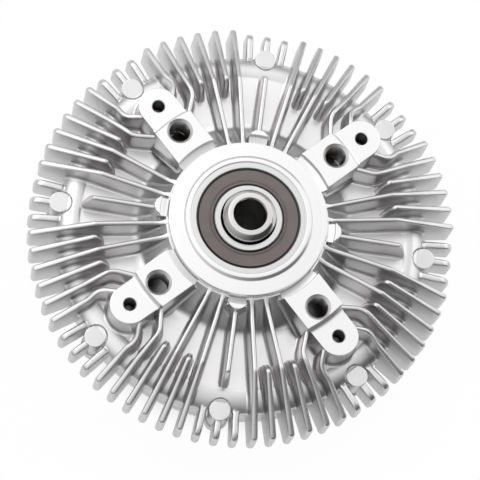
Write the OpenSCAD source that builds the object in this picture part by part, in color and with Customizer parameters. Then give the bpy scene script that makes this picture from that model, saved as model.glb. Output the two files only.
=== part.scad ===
// Viscous fan clutch lying on its front cover, rear hub upwards.
// The shaft axis is Z, with zero at the tips of the cover's cooling fins.

/* [Shaft and bearing] */
// Diameter of the shaft where it carries the bearing
shaft_d = 17; // [15:0.5:18]
// Bore through the shaft for the centre bolt
bolt_bore_d = 10.1; // [8:0.1:11]
// Height of the shaft nose above the bearing
nose_h = 4.3; // [2.5:0.1:8]
// Chamfer on the nose
nose_chamfer = 1.5; // [0.5:0.1:2]
// Diameter of the shaft in the rotor and in the front seal
journal_d = 22; // [21:0.5:23]
// Diameter of the collar that parts the bearing from the rotor
collar_d = 26; // [24.5:0.5:29]
// Diameter of the recess for the centre bolt's head
bolt_head_d = 16.6; // [13:0.1:17]
// Depth of the recess for the centre bolt's head
bolt_head_h = 10.5; // [6:0.5:14]
// Outside diameter of the bearing
bearing_d = 40; // [38:0.5:42]
// Width of the bearing
bearing_w = 12; // [11:0.25:14]
// Diameter of a bearing ball
ball_d = 6.7; // [6:0.1:7]
// Number of bearing balls
ball_count = 8; // [6:1:9]
// Diameter of the seal land on the inner ring
inner_land_d = 21.9; // [21.5:0.1:22.5]
// Inside diameter of the outer ring at its face
outer_land_d = 33.3; // [32.6:0.1:34]
// Thickness of a bearing seal
bearing_seal_t = 1.3; // [0.8:0.1:1.6]
// Depth of a bearing seal below the ring faces
bearing_seal_inset = 0.3; // [0.1:0.1:0.6]

/* [Body casting] */
// Diameter of the machined hub
hub_d = 51; // [48:0.5:54]
// Diameter of the hub cone where it meets the floor
cone_d = 70; // [64:0.5:74]
// Depth of the hub face below the bearing face
hub_face_drop = 0.4; // [0:0.1:1]
// Width of the lip rolled over the bearing
lip_w = 1.4; // [0.8:0.1:2]
// Height of the rolled lip
lip_h = 0.5; // [0.3:0.1:0.8]
// Height of the bearing face above the floor between the fins
hub_h = 14; // [13:0.25:16]
// Thickness of the floor
floor_t = 4; // [3:0.25:6]
// Diameter of the shoulder under the bearing
shoulder_d = 34; // [31:0.5:36]
// Diameter at which the rim bead begins
bead_d = 107; // [104:0.5:111]
// Height of the bead above the floor
bead_h = 0.3; // [0.2:0.1:1]
// Drop of the bead from its crown to the rim's edge
bead_drop = 4.6; // [3:0.1:5.5]

/* [Fan lugs] */
// Width of the inner pads
pad_w = 14.2; // [12:0.2:16]
// Drop of the inner pads below the bearing face
pad_drop = 0.55; // [0:0.05:1.2]
// Radius at which the pads begin outside the turned groove
pad_in_r = 28.3; // [27.5:0.1:30]
// Depth of the turned groove below the bearing face
groove_drop = 3; // [2:0.25:4]
// Radius of the step from the pads to the tongues
step_r = 40.5; // [39.5:0.1:41.5]
// Drop of the tongues below the bearing face
tongue_drop = 2.55; // [1.5:0.05:3.4]
// Width of the tongues
tongue_w = 12.8; // [11:0.2:14]
// Pitch circle of the threaded fan holes
fan_pcd = 72.2; // [70:0.2:74]
// Core diameter of the threaded fan holes
fan_hole_d = 6.8; // [5:0.1:7]
// Chamfer at the mouth of the threaded fan holes
fan_chamfer = 0.7; // [0.4:0.1:1]
// Depth of the threaded fan holes
fan_hole_h = 13; // [8:0.5:15]
// Pitch circle of the locating holes
dowel_pcd = 94.5; // [92:0.5:96]
// Diameter of the locating holes
dowel_d = 4; // [3:0.1:5]
// Depth of the locating holes
dowel_h = 9; // [5:0.5:12]

/* [Body fins] */
// Angle between neighbouring fins
fin_pitch = 5; // [4.6:0.1:5]
// Thickness of the fins
fin_t = 2; // [1.4:0.1:2.4]
// Diameter over the fin tips
tip_d = 139.6; // [134:0.2:144]
// Drop of the inner fin tops below the bearing face
fin_drop = 3.7; // [3.5:0.1:5]
// Drop of the fin tips' top corners below the bearing face
tip_drop = 13.5; // [11:0.25:15]
// Radius at which the fin tops start to fall
fin_break_r = 49; // [48:0.25:52]
// Radius of the foot of the short fins
short_foot_r = 46; // [44:0.25:47]
// Run of the sloped inner ends of the short fins
short_slope = 4; // [2:0.25:6]
// Drop of the stub tops below the bearing face
stub_drop = 15.2; // [14.5:0.1:17]
// Corner radius at the stub tips
stub_corner = 3.5; // [2:0.25:5]
// Radius at which the outer leaning fins bend towards the tongues
outer_bend_r = 52.2; // [51:0.1:53]
// Radius at which the inner leaning fins bend towards the pads
inner_bend_r = 46.4; // [45:0.1:47]
// Angle by which a leaning fin has closed on its neighbour at its bend
bend_turn = 0.7; // [0:0.1:1]
// Width of the half-round nubs on the hub
nub_w = 6.4; // [4:0.2:8]
// Reach of the nubs from the axis
nub_reach = 30.2; // [29.5:0.1:32]

/* [Cover joint] */
// Gap between the cover wall and the screw heads
head_gap = 0.5; // [0.3:0.05:1]
// Metal of the rim outside the screw circle
rim_margin = 0.5; // [0.25:0.05:2]
// Number of cover screws
screw_count = 8; // [8:8:8]
// Thread diameter of the cover screws
screw_d = 4; // [3:0.1:4.2]
// Head diameter of the cover screws
screw_head_d = 7; // [6:0.1:7.2]
// Head height of the cover screws
screw_head_h = 3; // [2:0.25:4]
// Drive recess across the cover screw heads
screw_drive = 3.2; // [2.5:0.1:4]
// Diameter of the screw bosses
boss_d = 6.8; // [5.6:0.1:7]
// Drop of the boss tops below the bearing face
boss_drop = 14.3; // [13.5:0.1:16]
// Solid metal above the screw holes
boss_cap = 1.6; // [1:0.1:3]
// Thickness of the cover flange
flange_t = 4; // [3:0.25:5]
// Width of the seal groove in the flange
seal_groove_w = 2; // [1.4:0.1:2.2]
// Depth of the seal groove in the flange
seal_groove_h = 1.5; // [1:0.1:2]
// Metal between the chamber and the seal groove
seal_land = 1.2; // [0.8:0.1:1.4]

/* [Rotor and chamber] */
// Thickness of the cover wall around the fluid chamber
chamber_wall = 2; // [1.6:0.1:2.5]
// Gap between the rotor rim and the chamber wall
rotor_rim_gap = 1; // [0.6:0.1:1.5]
// Thickness of the rotor disc
rotor_t = 5; // [4:0.25:7]
// Height of the rotor hub above the disc
rotor_hub_rise = 2; // [1:0.25:3]
// Diameter of the rotor hub
rotor_hub_d = 32; // [29:0.5:33]
// Depth of the joint plane below the rotor's upper face
joint_drop = 1; // [0.5:0.1:1.5]
// Gap between the rotor and the separator plate
shear_gap = 0.5; // [0.4:0.05:1]
// Number of annular lands on the rotor
land_count = 5; // [3:1:5]
// Radius of the first rotor land
land_first_r = 33; // [32:0.25:34]
// Gap between the lands of the rotor and those of the housing
land_gap = 0.5; // [0.3:0.05:0.7]
// Height of a land
land_h = 4.5; // [3:0.25:6]
// Gap over the tips of the lands
land_tip_gap = 1; // [0.6:0.1:1.5]
// Radius of the circle of rotor oil holes
oil_hole_circle_r = 23; // [21:0.25:26]
// Number of rotor oil holes
oil_hole_count = 6; // [3:1:8]
// Diameter of the rotor oil holes
oil_hole_d = 6; // [3:0.25:7]
// Thickness of the rotor's retaining ring
clip_t = 1.2; // [1:0.1:1.5]
// Depth of the retaining ring's groove in the shaft
clip_depth = 1; // [0.6:0.1:1.2]
// Width of the retaining ring
clip_w = 2.8; // [2:0.1:3.2]

/* [Front cover] */
// Height of the cover fins
cover_fin_h = 12.5; // [12:0.25:16]
// Thickness of the cover fins
cover_fin_t = 1.8; // [1.4:0.1:2]
// Number of cover fins
cover_fin_count = 40; // [40:8:40]
// Radius over the cover fins
cover_fin_r = 54.5; // [53:0.25:55.5]
// Bevel at the tips of the cover fins
cover_fin_bevel = 10; // [4:0.5:12]
// Run of the cover's sloped corner
cover_slope = 6; // [4:0.25:8]
// Thickness of the cover wall
cover_t = 3.5; // [3:0.25:5]
// Radius of the cover wall under the flange
cover_wall_r = 56; // [55.6:0.1:56.4]
// Height of the fluid reservoir
reservoir_h = 5.8; // [5.4:0.1:8]
// Width of the seat under the edge of the separator plate
plate_seat_w = 6.8; // [5.6:0.1:8]
// Radius of the boss around the front seal
seal_boss_r = 20; // [18.5:0.25:21]
// Height of the boss around the front seal
seal_boss_h = 6.5; // [5:0.25:8]
// Outside diameter of the front shaft seal
lip_seal_d = 32; // [29:0.5:34]
// Width of the front shaft seal
lip_seal_w = 6.6; // [5:0.2:7]
// Length of the shaft beyond the seal boss
shaft_tail = 1; // [0.5:0.25:3]

/* [Separator plate and valve] */
// Thickness of the separator plate
plate_t = 1.2; // [1:0.1:2]
// Step from the chamber wall in to the separator plate
plate_edge = 1.2; // [0.8:0.1:2]
// Diameter of the hole in the middle of the plate
plate_hole_d = 29; // [28.5:0.5:34]
// Number of plate rivets
rivet_count = 6; // [4:1:8]
// Shank diameter of the plate rivets
rivet_d = 2.5; // [2:0.1:3]
// Length of the plate rivets
rivet_h = 5; // [4:0.25:6]
// Distance of the valve gear from the shaft axis
valve_y = 31; // [30:0.5:33]
// Distance from the control pin to the lever pivot
lever_arm = 16; // [14:0.5:18]
// Distance from the control pin to the valve port
port_x = 12; // [9:0.5:14]
// Diameter of the valve port
port_d = 4.4; // [3:0.1:5]
// Width of the valve lever
lever_w = 6; // [5.4:0.1:7]
// Thickness of the valve lever
lever_t = 0.8; // [0.6:0.1:1]
// Diameter of the lever pivot pin
pivot_d = 1.6; // [1.4:0.1:1.8]
// Outside diameter of the lever knuckle
knuckle_d = 3.6; // [3.2:0.1:4]
// Thickness of the pivot ears
ear_t = 1.2; // [1:0.1:1.6]

/* [Thermal control] */
// Diameter of the control pin
control_pin_d = 3; // [2.4:0.1:4]
// Diameter of the control pin's guide boss
guide_d = 9; // [8:0.25:11]
// Height of the guide boss on the front
guide_h = 3; // [2.5:0.25:3.5]
// Width of the control pin's seal
pin_seal_w = 1.4; // [1:0.1:1.6]
// Length of the control pin between its guide boss and the strip
pin_show = 2.5; // [2:0.25:3.5]
// Length of the bimetal strip
strip_l = 58; // [54:1:62]
// Width of the bimetal strip
strip_w = 10; // [8:0.5:12]
// Thickness of the bimetal strip
strip_t = 1; // [0.6:0.1:1.2]
// Thickness of the bracket sheet
bracket_t = 1.5; // [1:0.1:2]
// Length of the bracket feet
bracket_foot = 10; // [9:0.5:11]
// Margin of the brackets around the strip
bracket_margin = 1.2; // [1:0.1:1.6]
// Thread diameter of the bracket screws
bracket_screw_d = 3; // [2.5:0.1:3.5]
// Head diameter of the bracket screws
bracket_head_d = 5.4; // [4.6:0.1:6]
// Head height of the bracket screws
bracket_head_h = 2; // [1.5:0.1:2.5]
// Depth of the bracket screws in the cover
bracket_screw_grip = 2.4; // [2:0.1:2.6]

/* [Clearances] */
// Radial clearance of running and sliding fits
run_gap = 0.05; // [0.03:0.01:0.1]
// Radial clearance of fixed fits
fix_gap = 0.03; // [0.01:0.01:0.1]
// Gap left between parts that face each other
face_gap = 0.1; // [0.05:0.05:0.3]
// Radial clearance around screws in plain holes
screw_gap = 0.2; // [0.1:0.05:0.4]

/* [Hidden] */
$fn = 64;

// Heights, stacked from the cover fins upwards
cover_face_z = cover_fin_h;
reservoir_z = cover_face_z + cover_t;
plate_z = reservoir_z + reservoir_h;
plate_top_z = plate_z + plate_t;
rotor_z = plate_top_z + shear_gap;
rotor_top_z = rotor_z + rotor_t;
joint_z = rotor_top_z - joint_drop;
ceiling_z = rotor_top_z + land_h + land_tip_gap;
floor_z = ceiling_z + floor_t;
face_z = floor_z + hub_h;
seat_z = face_z - bearing_w;
hub_top_z = face_z - hub_face_drop;
groove_z = face_z - groove_drop;
boss_top_z = face_z - boss_drop;
root_z = floor_z - floor_t / 2;
flange_z = joint_z - flange_t;
slope_top_z = flange_z - screw_head_h - 1;
tail_z = cover_face_z - seal_boss_h - shaft_tail;
bearing_z = seat_z + bearing_w / 2;

// Radii and widths that follow from the driving sizes
eps = 0.01;
overlap = 0.4;
trim = 1;
fin_base_z = joint_z - 2 * trim;
bearing_r = bearing_d / 2;
hub_r = hub_d / 2;
hub_edge = 0.8;
fin_root_r = hub_r - 1;
lip_slope = 0.6;
cone_top_drop = 2.5;
chamber_r = cover_wall_r - chamber_wall;
screw_circle_r = cover_wall_r + screw_head_d / 2 + head_gap;
rim_r = screw_circle_r + rim_margin;
bead_r = bead_d / 2;
bead_crown_z = floor_z + bead_h;
bead_arc_n = 8;
rim_root_r = (chamber_r + rim_r) / 2;
tip_r = tip_d / 2;
tip_corner = 1.5;
rotor_r = chamber_r - rotor_rim_gap;
land_pitch = (rotor_r - land_first_r) / land_count;
land_w = land_pitch / 2 - land_gap;
pitch_r = (inner_land_d + outer_land_d) / 4 + 0.45;
ball_r = ball_d / 2;
race_gap = run_gap;
shoulder_h = 1.3;
thread_hole_r = screw_d / 2 + fix_gap;
screw_tip_z = boss_top_z - boss_cap - face_gap;
plate_r = chamber_r - plate_edge;
plate_seat_r = plate_r + face_gap;
reservoir_r = plate_r - plate_seat_w;
seal_groove_r = chamber_r + seal_land;
rivet_circle_r = (reservoir_r + plate_r) / 2;
lip_wall = 1.4;
lug_angles = [45, 135, 225, 315];
boss_step = 360 / screw_count;
lever_z = plate_z - face_gap;
pivot_z = plate_z - knuckle_d / 2 - face_gap * 4;
pivot_x = -lever_arm;
guide_z = cover_face_z - guide_h;
strip_drop = guide_h + pin_show;
strip_z = cover_face_z - strip_drop;
bracket_w = strip_w + 2 * bracket_margin;
bracket_x = strip_l / 2 - 2 * bracket_t;
bracket_h = strip_drop + strip_t + bracket_margin;
window_margin = 2;
window_x = bracket_x + bracket_foot + window_margin;
window_w = bracket_w + 2 * window_margin;
bracket_screw_x = bracket_x + bracket_t + (bracket_foot - bracket_t) / 2;

function arc(cx, cz, rx, rz, from, to, n) =
    [for (i = [0 : n]) let (a = from + (to - from) * i / n) [cx + rx * cos(a), cz + rz * sin(a)]];
function polar(r, a) = [r * cos(a), r * sin(a)];

module spin(points) {
    rotate_extrude($fn = 128) polygon(points);
}

module tube(r_in, r_out, z, h) {
    translate([0, 0, z]) difference() {
        cylinder(r = r_out, h = h);
        translate([0, 0, -1]) cylinder(r = r_in, h = h + 2);
    }
}

module at_circle(count, r) {
    for (i = [0 : count - 1]) rotate(360 * i / count) translate([r, 0, 0]) children();
}

// Straight plan strip from point p to point q
module strip_2d(p, q, w) {
    d = q - p;
    translate(p) rotate(atan2(d.y, d.x)) translate([0, -w / 2]) square([norm(d), w]);
}

module radial_strip_2d(angle, r_in, r_out, w) {
    strip_2d(polar(r_in, angle), polar(r_out, angle), w);
}

// Fin that runs in from the tip and bends over to the side of a lug
module bent_strip_2d(angle, bend_r, foot) {
    bend = polar(bend_r, angle + bend_turn);
    strip_2d(polar(tip_r, angle), bend, fin_t);
    strip_2d(bend, foot, fin_t);
    translate(bend) circle(d = fin_t, $fn = 24);
}

module each_lug_side() {
    for (a = lug_angles) rotate(a) {
        children();
        mirror([0, 1, 0]) children();
    }
}

// Every fin of a kind is its plan strips cut to one turned outline
module fins_cut_to(outline, z_top) {
    intersection() {
        translate([0, 0, fin_base_z]) linear_extrude(z_top - fin_base_z) children();
        spin(outline);
    }
}

function fin_top_z(r) = let (
    top = face_z - fin_drop,
    tip = face_z - tip_drop
) r < fin_break_r ? top : top - (top - tip) * (r - fin_break_r) / (tip_r - fin_break_r);

tip_outline = concat(
    arc(tip_r - tip_corner, face_z - tip_drop - tip_corner, tip_corner, tip_corner, 65, 0, 4),
    [[tip_r, fin_base_z], [rim_root_r, fin_base_z], [rim_root_r, root_z]]
);
long_outline = concat(
    [[fin_root_r, root_z], [fin_root_r, fin_top_z(0)], [fin_break_r, fin_top_z(0)]],
    tip_outline
);
short_outline = concat(
    [[short_foot_r, root_z], [short_foot_r, floor_z],
     [short_foot_r + short_slope, fin_top_z(short_foot_r + short_slope)]],
    tip_outline
);
stub_outline = concat(
    [[rim_root_r, face_z - stub_drop]],
    arc(tip_r - stub_corner, face_z - stub_drop - stub_corner, stub_corner, stub_corner, 90, 0, 5),
    [[tip_r, fin_base_z], [rim_root_r, fin_base_z]]
);
rib_outline = [
    [fin_root_r, root_z], [fin_root_r, fin_top_z(0)], [bead_r - short_slope, fin_top_z(0)],
    [bead_r + overlap, floor_z], [bead_r + overlap, root_z]
];

// Steps of the pattern, counted in fins from each lug
bent_steps = [2, 3];
short_steps = [4, 6];
long_steps = [5, 7];

module body_fins() {
    z_top = face_z;
    fins_cut_to(long_outline, z_top) each_lug_side() {
        for (s = long_steps) radial_strip_2d(s * fin_pitch, fin_root_r, tip_r, fin_t);
        bent_strip_2d(bent_steps[0] * fin_pitch, outer_bend_r, [dowel_pcd / 2, tongue_w / 2 - fin_t / 2]);
        bent_strip_2d(bent_steps[1] * fin_pitch, inner_bend_r, [step_r, pad_w / 2 - fin_t / 2]);
    }
    fins_cut_to(short_outline, z_top) each_lug_side()
        for (s = short_steps) radial_strip_2d(s * fin_pitch, short_foot_r, tip_r, fin_t);
    fins_cut_to(stub_outline, z_top)
        for (i = [0 : screw_count - 1], s = [-1, 0, 1])
            radial_strip_2d(i * boss_step + s * fin_pitch, rim_root_r, tip_r, fin_t);
    fins_cut_to(rib_outline, z_top)
        for (a = lug_angles) radial_strip_2d(a + 45, fin_root_r, bead_r + overlap, fin_t);
    for (a = lug_angles) rotate(a + 45) translate([nub_reach - nub_w / 2, 0, root_z])
        cylinder(d = nub_w, h = face_z - tongue_drop / 2 - root_z);
}

module lug() {
    translate([fin_root_r, -pad_w / 2, root_z])
        cube([step_r - fin_root_r - overlap, pad_w, groove_z - root_z]);
    intersection() {
        translate([fin_root_r, -pad_w / 2, root_z])
            cube([step_r, pad_w, face_z - pad_drop - root_z]);
        tube(pad_in_r, step_r, root_z, hub_h * 2);
    }
    translate([pad_in_r, -tongue_w / 2, root_z])
        cube([dowel_pcd / 2 - pad_in_r, tongue_w, face_z - tongue_drop - root_z]);
    translate([dowel_pcd / 2, 0, root_z])
        cylinder(d = tongue_w, h = face_z - tongue_drop - root_z);
}

// Drilled through the finished housing, since the hub cone reaches under the pads
module lug_holes() {
    translate([fan_pcd / 2, 0, face_z - pad_drop - fan_hole_h])
        cylinder(d = fan_hole_d, h = fan_hole_h + 1);
    translate([fan_pcd / 2, 0, face_z - pad_drop - fan_chamfer])
        cylinder(d1 = fan_hole_d, d2 = fan_hole_d + 2 * (fan_chamfer + eps), h = fan_chamfer + eps);
    translate([dowel_pcd / 2, 0, face_z - tongue_drop - dowel_h])
        cylinder(d = dowel_d, h = dowel_h + 1);
}

// Turned section of the housing, hub on the inside and rim on the outside
module body_section() {
    lands = [for (i = [0 : land_count]) land_first_r + (i - 0.5) * land_pitch];
    spin(concat(
        [[shoulder_d / 2, ceiling_z], [shoulder_d / 2, seat_z], [bearing_r, seat_z], [bearing_r, face_z],
         [bearing_r - lip_w, face_z], [bearing_r - lip_w, face_z + lip_h], [bearing_r, face_z + lip_h],
         [bearing_r + lip_slope, hub_top_z], [hub_r - hub_edge, hub_top_z]],
        arc(hub_r - hub_edge, hub_top_z - hub_edge, hub_edge, hub_edge, 60, 0, 2),
        [[hub_r, face_z - cone_top_drop], [cone_d / 2, floor_z], [bead_r, floor_z],
         [bead_r, bead_crown_z - bead_h / 2]],
        arc(bead_r + bead_h, bead_crown_z - bead_drop, rim_r - bead_r - bead_h, bead_drop, 90, 0, bead_arc_n),
        [[rim_r, joint_z - trim], [chamber_r, joint_z - trim], [chamber_r, ceiling_z]],
        [for (i = [land_count : -1 : 0]) each [
            [lands[i] + land_w / 2, ceiling_z], [lands[i] + land_w / 2, ceiling_z - land_h],
            [lands[i] - land_w / 2, ceiling_z - land_h], [lands[i] - land_w / 2, ceiling_z]]]
    ));
}

module clutch_body() {
    color("#c9cacb") difference() {
        union() {
            body_section();
            body_fins();
            for (a = lug_angles) rotate(a) lug();
            at_circle(screw_count, screw_circle_r)
                translate([0, 0, joint_z - 3 * trim])
                    cylinder(d = boss_d, h = boss_top_z - joint_z + 3 * trim);
        }
        for (a = lug_angles) rotate(a) lug_holes();
        translate([0, 0, joint_z - 4 * trim]) cylinder(r = tip_r + trim, h = 4 * trim);
        at_circle(screw_count, screw_circle_r)
            translate([0, 0, joint_z - trim])
                cylinder(r = thread_hole_r, h = boss_top_z - boss_cap - joint_z + trim);
    }
}

module cover_fins() {
    heel_r = seal_boss_r - 1;
    slope_r = cover_wall_r - cover_slope;
    mid_wall_z = cover_face_z + cover_t / 2;
    tip_wall_z = mid_wall_z + (cover_fin_r - slope_r) * (slope_top_z - cover_face_z) / cover_slope;
    outline = [
        [heel_r, mid_wall_z], [heel_r, cover_face_z - seal_boss_h / 2], [heel_r + cover_fin_h / 2, 0],
        [cover_fin_r - cover_fin_bevel, 0], [cover_fin_r, cover_fin_bevel * 0.8],
        [cover_fin_r, tip_wall_z], [slope_r, mid_wall_z]
    ];
    difference() {
        intersection() {
            linear_extrude(flange_z) for (i = [0 : cover_fin_count - 1])
                radial_strip_2d((i + 0.5) * 360 / cover_fin_count, heel_r, cover_fin_r, cover_fin_t);
            spin(outline);
        }
        translate([-window_x, -valve_y - window_w / 2, -1])
            cube([2 * window_x, window_w, cover_face_z + 1]);
    }
}

module cover_section() {
    spin([
        [cover_wall_r, joint_z], [cover_wall_r, slope_top_z],
        [cover_wall_r - cover_slope, cover_face_z],
        [seal_boss_r, cover_face_z], [seal_boss_r, cover_face_z - seal_boss_h],
        [lip_seal_d / 2, cover_face_z - seal_boss_h],
        [lip_seal_d / 2, cover_face_z - seal_boss_h + lip_seal_w + face_gap],
        [journal_d / 2 + 2, cover_face_z - seal_boss_h + lip_seal_w + face_gap],
        [journal_d / 2 + 2, reservoir_z], [reservoir_r, reservoir_z], [reservoir_r, plate_z],
        [plate_seat_r, plate_z], [plate_seat_r, plate_top_z], [chamber_r, plate_top_z],
        [chamber_r, joint_z]
    ]);
}

// Flange with a round ear and a plain hole at each screw
module flange_2d() {
    difference() {
        union() {
            circle(r = rim_r, $fn = 128);
            at_circle(screw_count, screw_circle_r) circle(d = screw_head_d + 2 * head_gap);
        }
        circle(r = chamber_r + seal_land / 2, $fn = 128);
        at_circle(screw_count, screw_circle_r) circle(d = screw_d + 2 * screw_gap);
    }
}

module front_cover() {
    color("#c4c5c6") difference() {
        union() {
            cover_section();
            cover_fins();
            translate([0, 0, flange_z]) linear_extrude(flange_t) flange_2d();
            translate([0, -valve_y, guide_z]) cylinder(d = guide_d, h = guide_h + cover_t / 2);
        }
        tube(seal_groove_r, seal_groove_r + seal_groove_w, joint_z - seal_groove_h, seal_groove_h + 1);
        at_circle(rivet_count, rivet_circle_r)
            translate([0, 0, plate_top_z - rivet_h - face_gap])
                cylinder(d = rivet_d + 2 * fix_gap, h = rivet_h);
        translate([0, -valve_y, 0]) {
            cylinder(d = control_pin_d + 2 * run_gap, h = reservoir_z + 1);
            tube(0, control_pin_d / 2 + pin_seal_w, cover_face_z - pin_seal_w / 2 - face_gap,
                pin_seal_w + 2 * face_gap);
        }
        for (s = [-1, 1]) translate([s * bracket_screw_x, -valve_y, cover_face_z - 1])
            cylinder(d = bracket_screw_d + 2 * fix_gap, h = bracket_screw_grip + face_gap + 1);
    }
}

module cover_seal_ring() {
    color("#26262a") tube(seal_groove_r + fix_gap, seal_groove_r + seal_groove_w - fix_gap,
        joint_z - seal_groove_h, seal_groove_h);
}

module cover_screws() {
    color("#a9abae") at_circle(screw_count, screw_circle_r) difference() {
        union() {
            translate([0, 0, flange_z - screw_head_h]) cylinder(d = screw_head_d, h = screw_head_h);
            translate([0, 0, flange_z - eps]) cylinder(d = screw_d, h = screw_tip_z - flange_z + eps);
        }
        translate([0, 0, flange_z - screw_head_h - 1])
            cylinder(d = screw_drive, h = 1 + screw_head_h * 0.6, $fn = 6);
    }
}

module input_shaft() {
    clip_z = rotor_z - clip_t - face_gap;
    color("#b9bbbe") spin([
        [bolt_bore_d / 2, tail_z + bolt_head_h], [bolt_bore_d / 2, face_z + nose_h],
        [shaft_d / 2 - nose_chamfer, face_z + nose_h], [shaft_d / 2, face_z + nose_h - nose_chamfer],
        [shaft_d / 2, seat_z], [collar_d / 2, seat_z], [collar_d / 2, rotor_top_z + rotor_hub_rise],
        [journal_d / 2, rotor_top_z + rotor_hub_rise], [journal_d / 2, rotor_z],
        [journal_d / 2 - clip_depth, rotor_z], [journal_d / 2 - clip_depth, clip_z],
        [journal_d / 2, clip_z], [journal_d / 2, tail_z], [bolt_head_d / 2, tail_z],
        [bolt_head_d / 2, tail_z + bolt_head_h]
    ]);
}

module rotor_disc() {
    lands = [for (i = [0 : land_count - 1]) land_first_r + i * land_pitch];
    color("#c2c4c7") difference() {
        spin(concat(
            [[journal_d / 2, rotor_z], [journal_d / 2, rotor_top_z + rotor_hub_rise],
             [rotor_hub_d / 2, rotor_top_z + rotor_hub_rise], [rotor_hub_d / 2, rotor_top_z]],
            [for (r = lands) each [
                [r - land_w / 2, rotor_top_z], [r - land_w / 2, rotor_top_z + land_h],
                [r + land_w / 2, rotor_top_z + land_h], [r + land_w / 2, rotor_top_z]]],
            [[rotor_r, rotor_top_z], [rotor_r, rotor_z]]
        ));
        at_circle(oil_hole_count, oil_hole_circle_r)
            translate([0, 0, rotor_z - 1]) cylinder(d = oil_hole_d, h = rotor_t + 2);
    }
}

module rotor_retaining_ring() {
    r_in = journal_d / 2 - clip_depth + fix_gap;
    color("#8d9094") difference() {
        tube(r_in, r_in + clip_w, rotor_z - clip_t, clip_t);
        translate([0, -1.5, rotor_z - clip_t - 1]) cube([journal_d, 3, clip_t + 2]);
    }
}

module bearing_outer_ring() {
    r_face = outer_land_d / 2;
    half = bearing_w / 2;
    land = half - bearing_seal_inset - bearing_seal_t;
    r_race = pitch_r + ball_r + race_gap;
    color("#d3d5d7") difference() {
        translate([0, 0, bearing_z]) spin([
            [bearing_r, -half], [bearing_r, half], [r_face, half], [r_face, land],
            [r_race - shoulder_h, land], [r_race - shoulder_h, -land], [r_face, -land], [r_face, -half]
        ]);
        translate([0, 0, bearing_z]) rotate_extrude($fn = 128)
            translate([pitch_r, 0]) circle(r = ball_r + race_gap, $fn = 48);
    }
}

module bearing_inner_ring() {
    r_face = inner_land_d / 2;
    half = bearing_w / 2;
    land = half - bearing_seal_inset - bearing_seal_t - face_gap;
    r_race = pitch_r - ball_r - race_gap;
    color("#dcdee0") difference() {
        translate([0, 0, bearing_z]) spin([
            [shaft_d / 2, -half], [r_face, -half], [r_face, -land], [r_race + shoulder_h, -land],
            [r_race + shoulder_h, land], [r_face, land], [r_face, half], [shaft_d / 2, half]
        ]);
        translate([0, 0, bearing_z]) rotate_extrude($fn = 128)
            translate([pitch_r, 0]) circle(r = ball_r + race_gap, $fn = 48);
    }
}

module bearing_balls() {
    color("#e3e5e7") at_circle(ball_count, pitch_r) translate([0, 0, bearing_z]) sphere(r = ball_r);
}

// Moulded crown cage, a ring under the balls with an open pocket for each one
module bearing_cage() {
    cage_t = ball_r * 0.7;
    cage_drop = bearing_w / 2 - bearing_seal_inset - bearing_seal_t - 2 * face_gap;
    color("#6f6a52") difference() {
        tube(pitch_r - cage_t / 2, pitch_r + cage_t / 2, bearing_z - cage_drop, cage_drop + cage_t);
        at_circle(ball_count, pitch_r) translate([0, 0, bearing_z]) sphere(r = ball_r + run_gap);
    }
}

module bearing_seal(z) {
    color("#6f6466") tube(inner_land_d / 2 + run_gap, outer_land_d / 2, z, bearing_seal_t);
}

module rear_bearing_seal() {
    bearing_seal(face_z - bearing_seal_inset - bearing_seal_t);
}

module front_bearing_seal() {
    bearing_seal(seat_z + bearing_seal_inset);
}

module shaft_lip_seal() {
    r_out = lip_seal_d / 2;
    r_lip = journal_d / 2 + run_gap;
    z = cover_face_z - seal_boss_h;
    color("#2b2b2e") spin([
        [r_out, z], [r_out, z + lip_seal_w], [r_lip + lip_wall, z + lip_seal_w],
        [r_lip + lip_wall, z + lip_seal_w - lip_wall], [r_out - lip_wall, z + lip_seal_w - lip_wall],
        [r_out - lip_wall, z + lip_wall], [r_lip + lip_wall, z + lip_wall],
        [r_lip + lip_wall, z + lip_seal_w / 2], [r_lip, z + lip_seal_w / 2], [r_lip, z]
    ]);
}

module lip_seal_spring() {
    wire_r = 0.7;
    ring_r = journal_d / 2 + run_gap + lip_wall + wire_r + fix_gap;
    color("#9a9c9f") translate([0, 0, cover_face_z - seal_boss_h + lip_seal_w / 2 - wire_r])
        rotate_extrude($fn = 96) translate([ring_r, 0]) circle(r = wire_r, $fn = 24);
}

module separator_plate() {
    ear_gap = lever_w / 2 + face_gap;
    color("#b4a06a") difference() {
        union() {
            tube(plate_hole_d / 2, plate_r, plate_z, plate_t);
            for (s = [-1, 1]) translate([pivot_x, -valve_y + s * (ear_gap + ear_t / 2), pivot_z]) {
                rotate([90, 0, 0]) cylinder(d = knuckle_d + 0.4, h = ear_t, center = true);
                translate([-knuckle_d / 2, -ear_t / 2, 0])
                    cube([knuckle_d, ear_t, plate_z - pivot_z + plate_t / 2]);
            }
        }
        translate([pivot_x, -valve_y, pivot_z]) rotate([90, 0, 0])
            cylinder(d = pivot_d + 2 * fix_gap, h = 4 * lever_w, center = true);
        translate([port_x, -valve_y, plate_z - 1]) cylinder(d = port_d, h = plate_t + 2);
        at_circle(rivet_count, rivet_circle_r) translate([0, 0, plate_z - 1])
            cylinder(d = rivet_d + 2 * fix_gap, h = plate_t + 2);
    }
}

module plate_rivets() {
    color("#9b9da0") at_circle(rivet_count, rivet_circle_r)
        translate([0, 0, plate_top_z - rivet_h]) cylinder(d = rivet_d, h = rivet_h);
}

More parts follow.
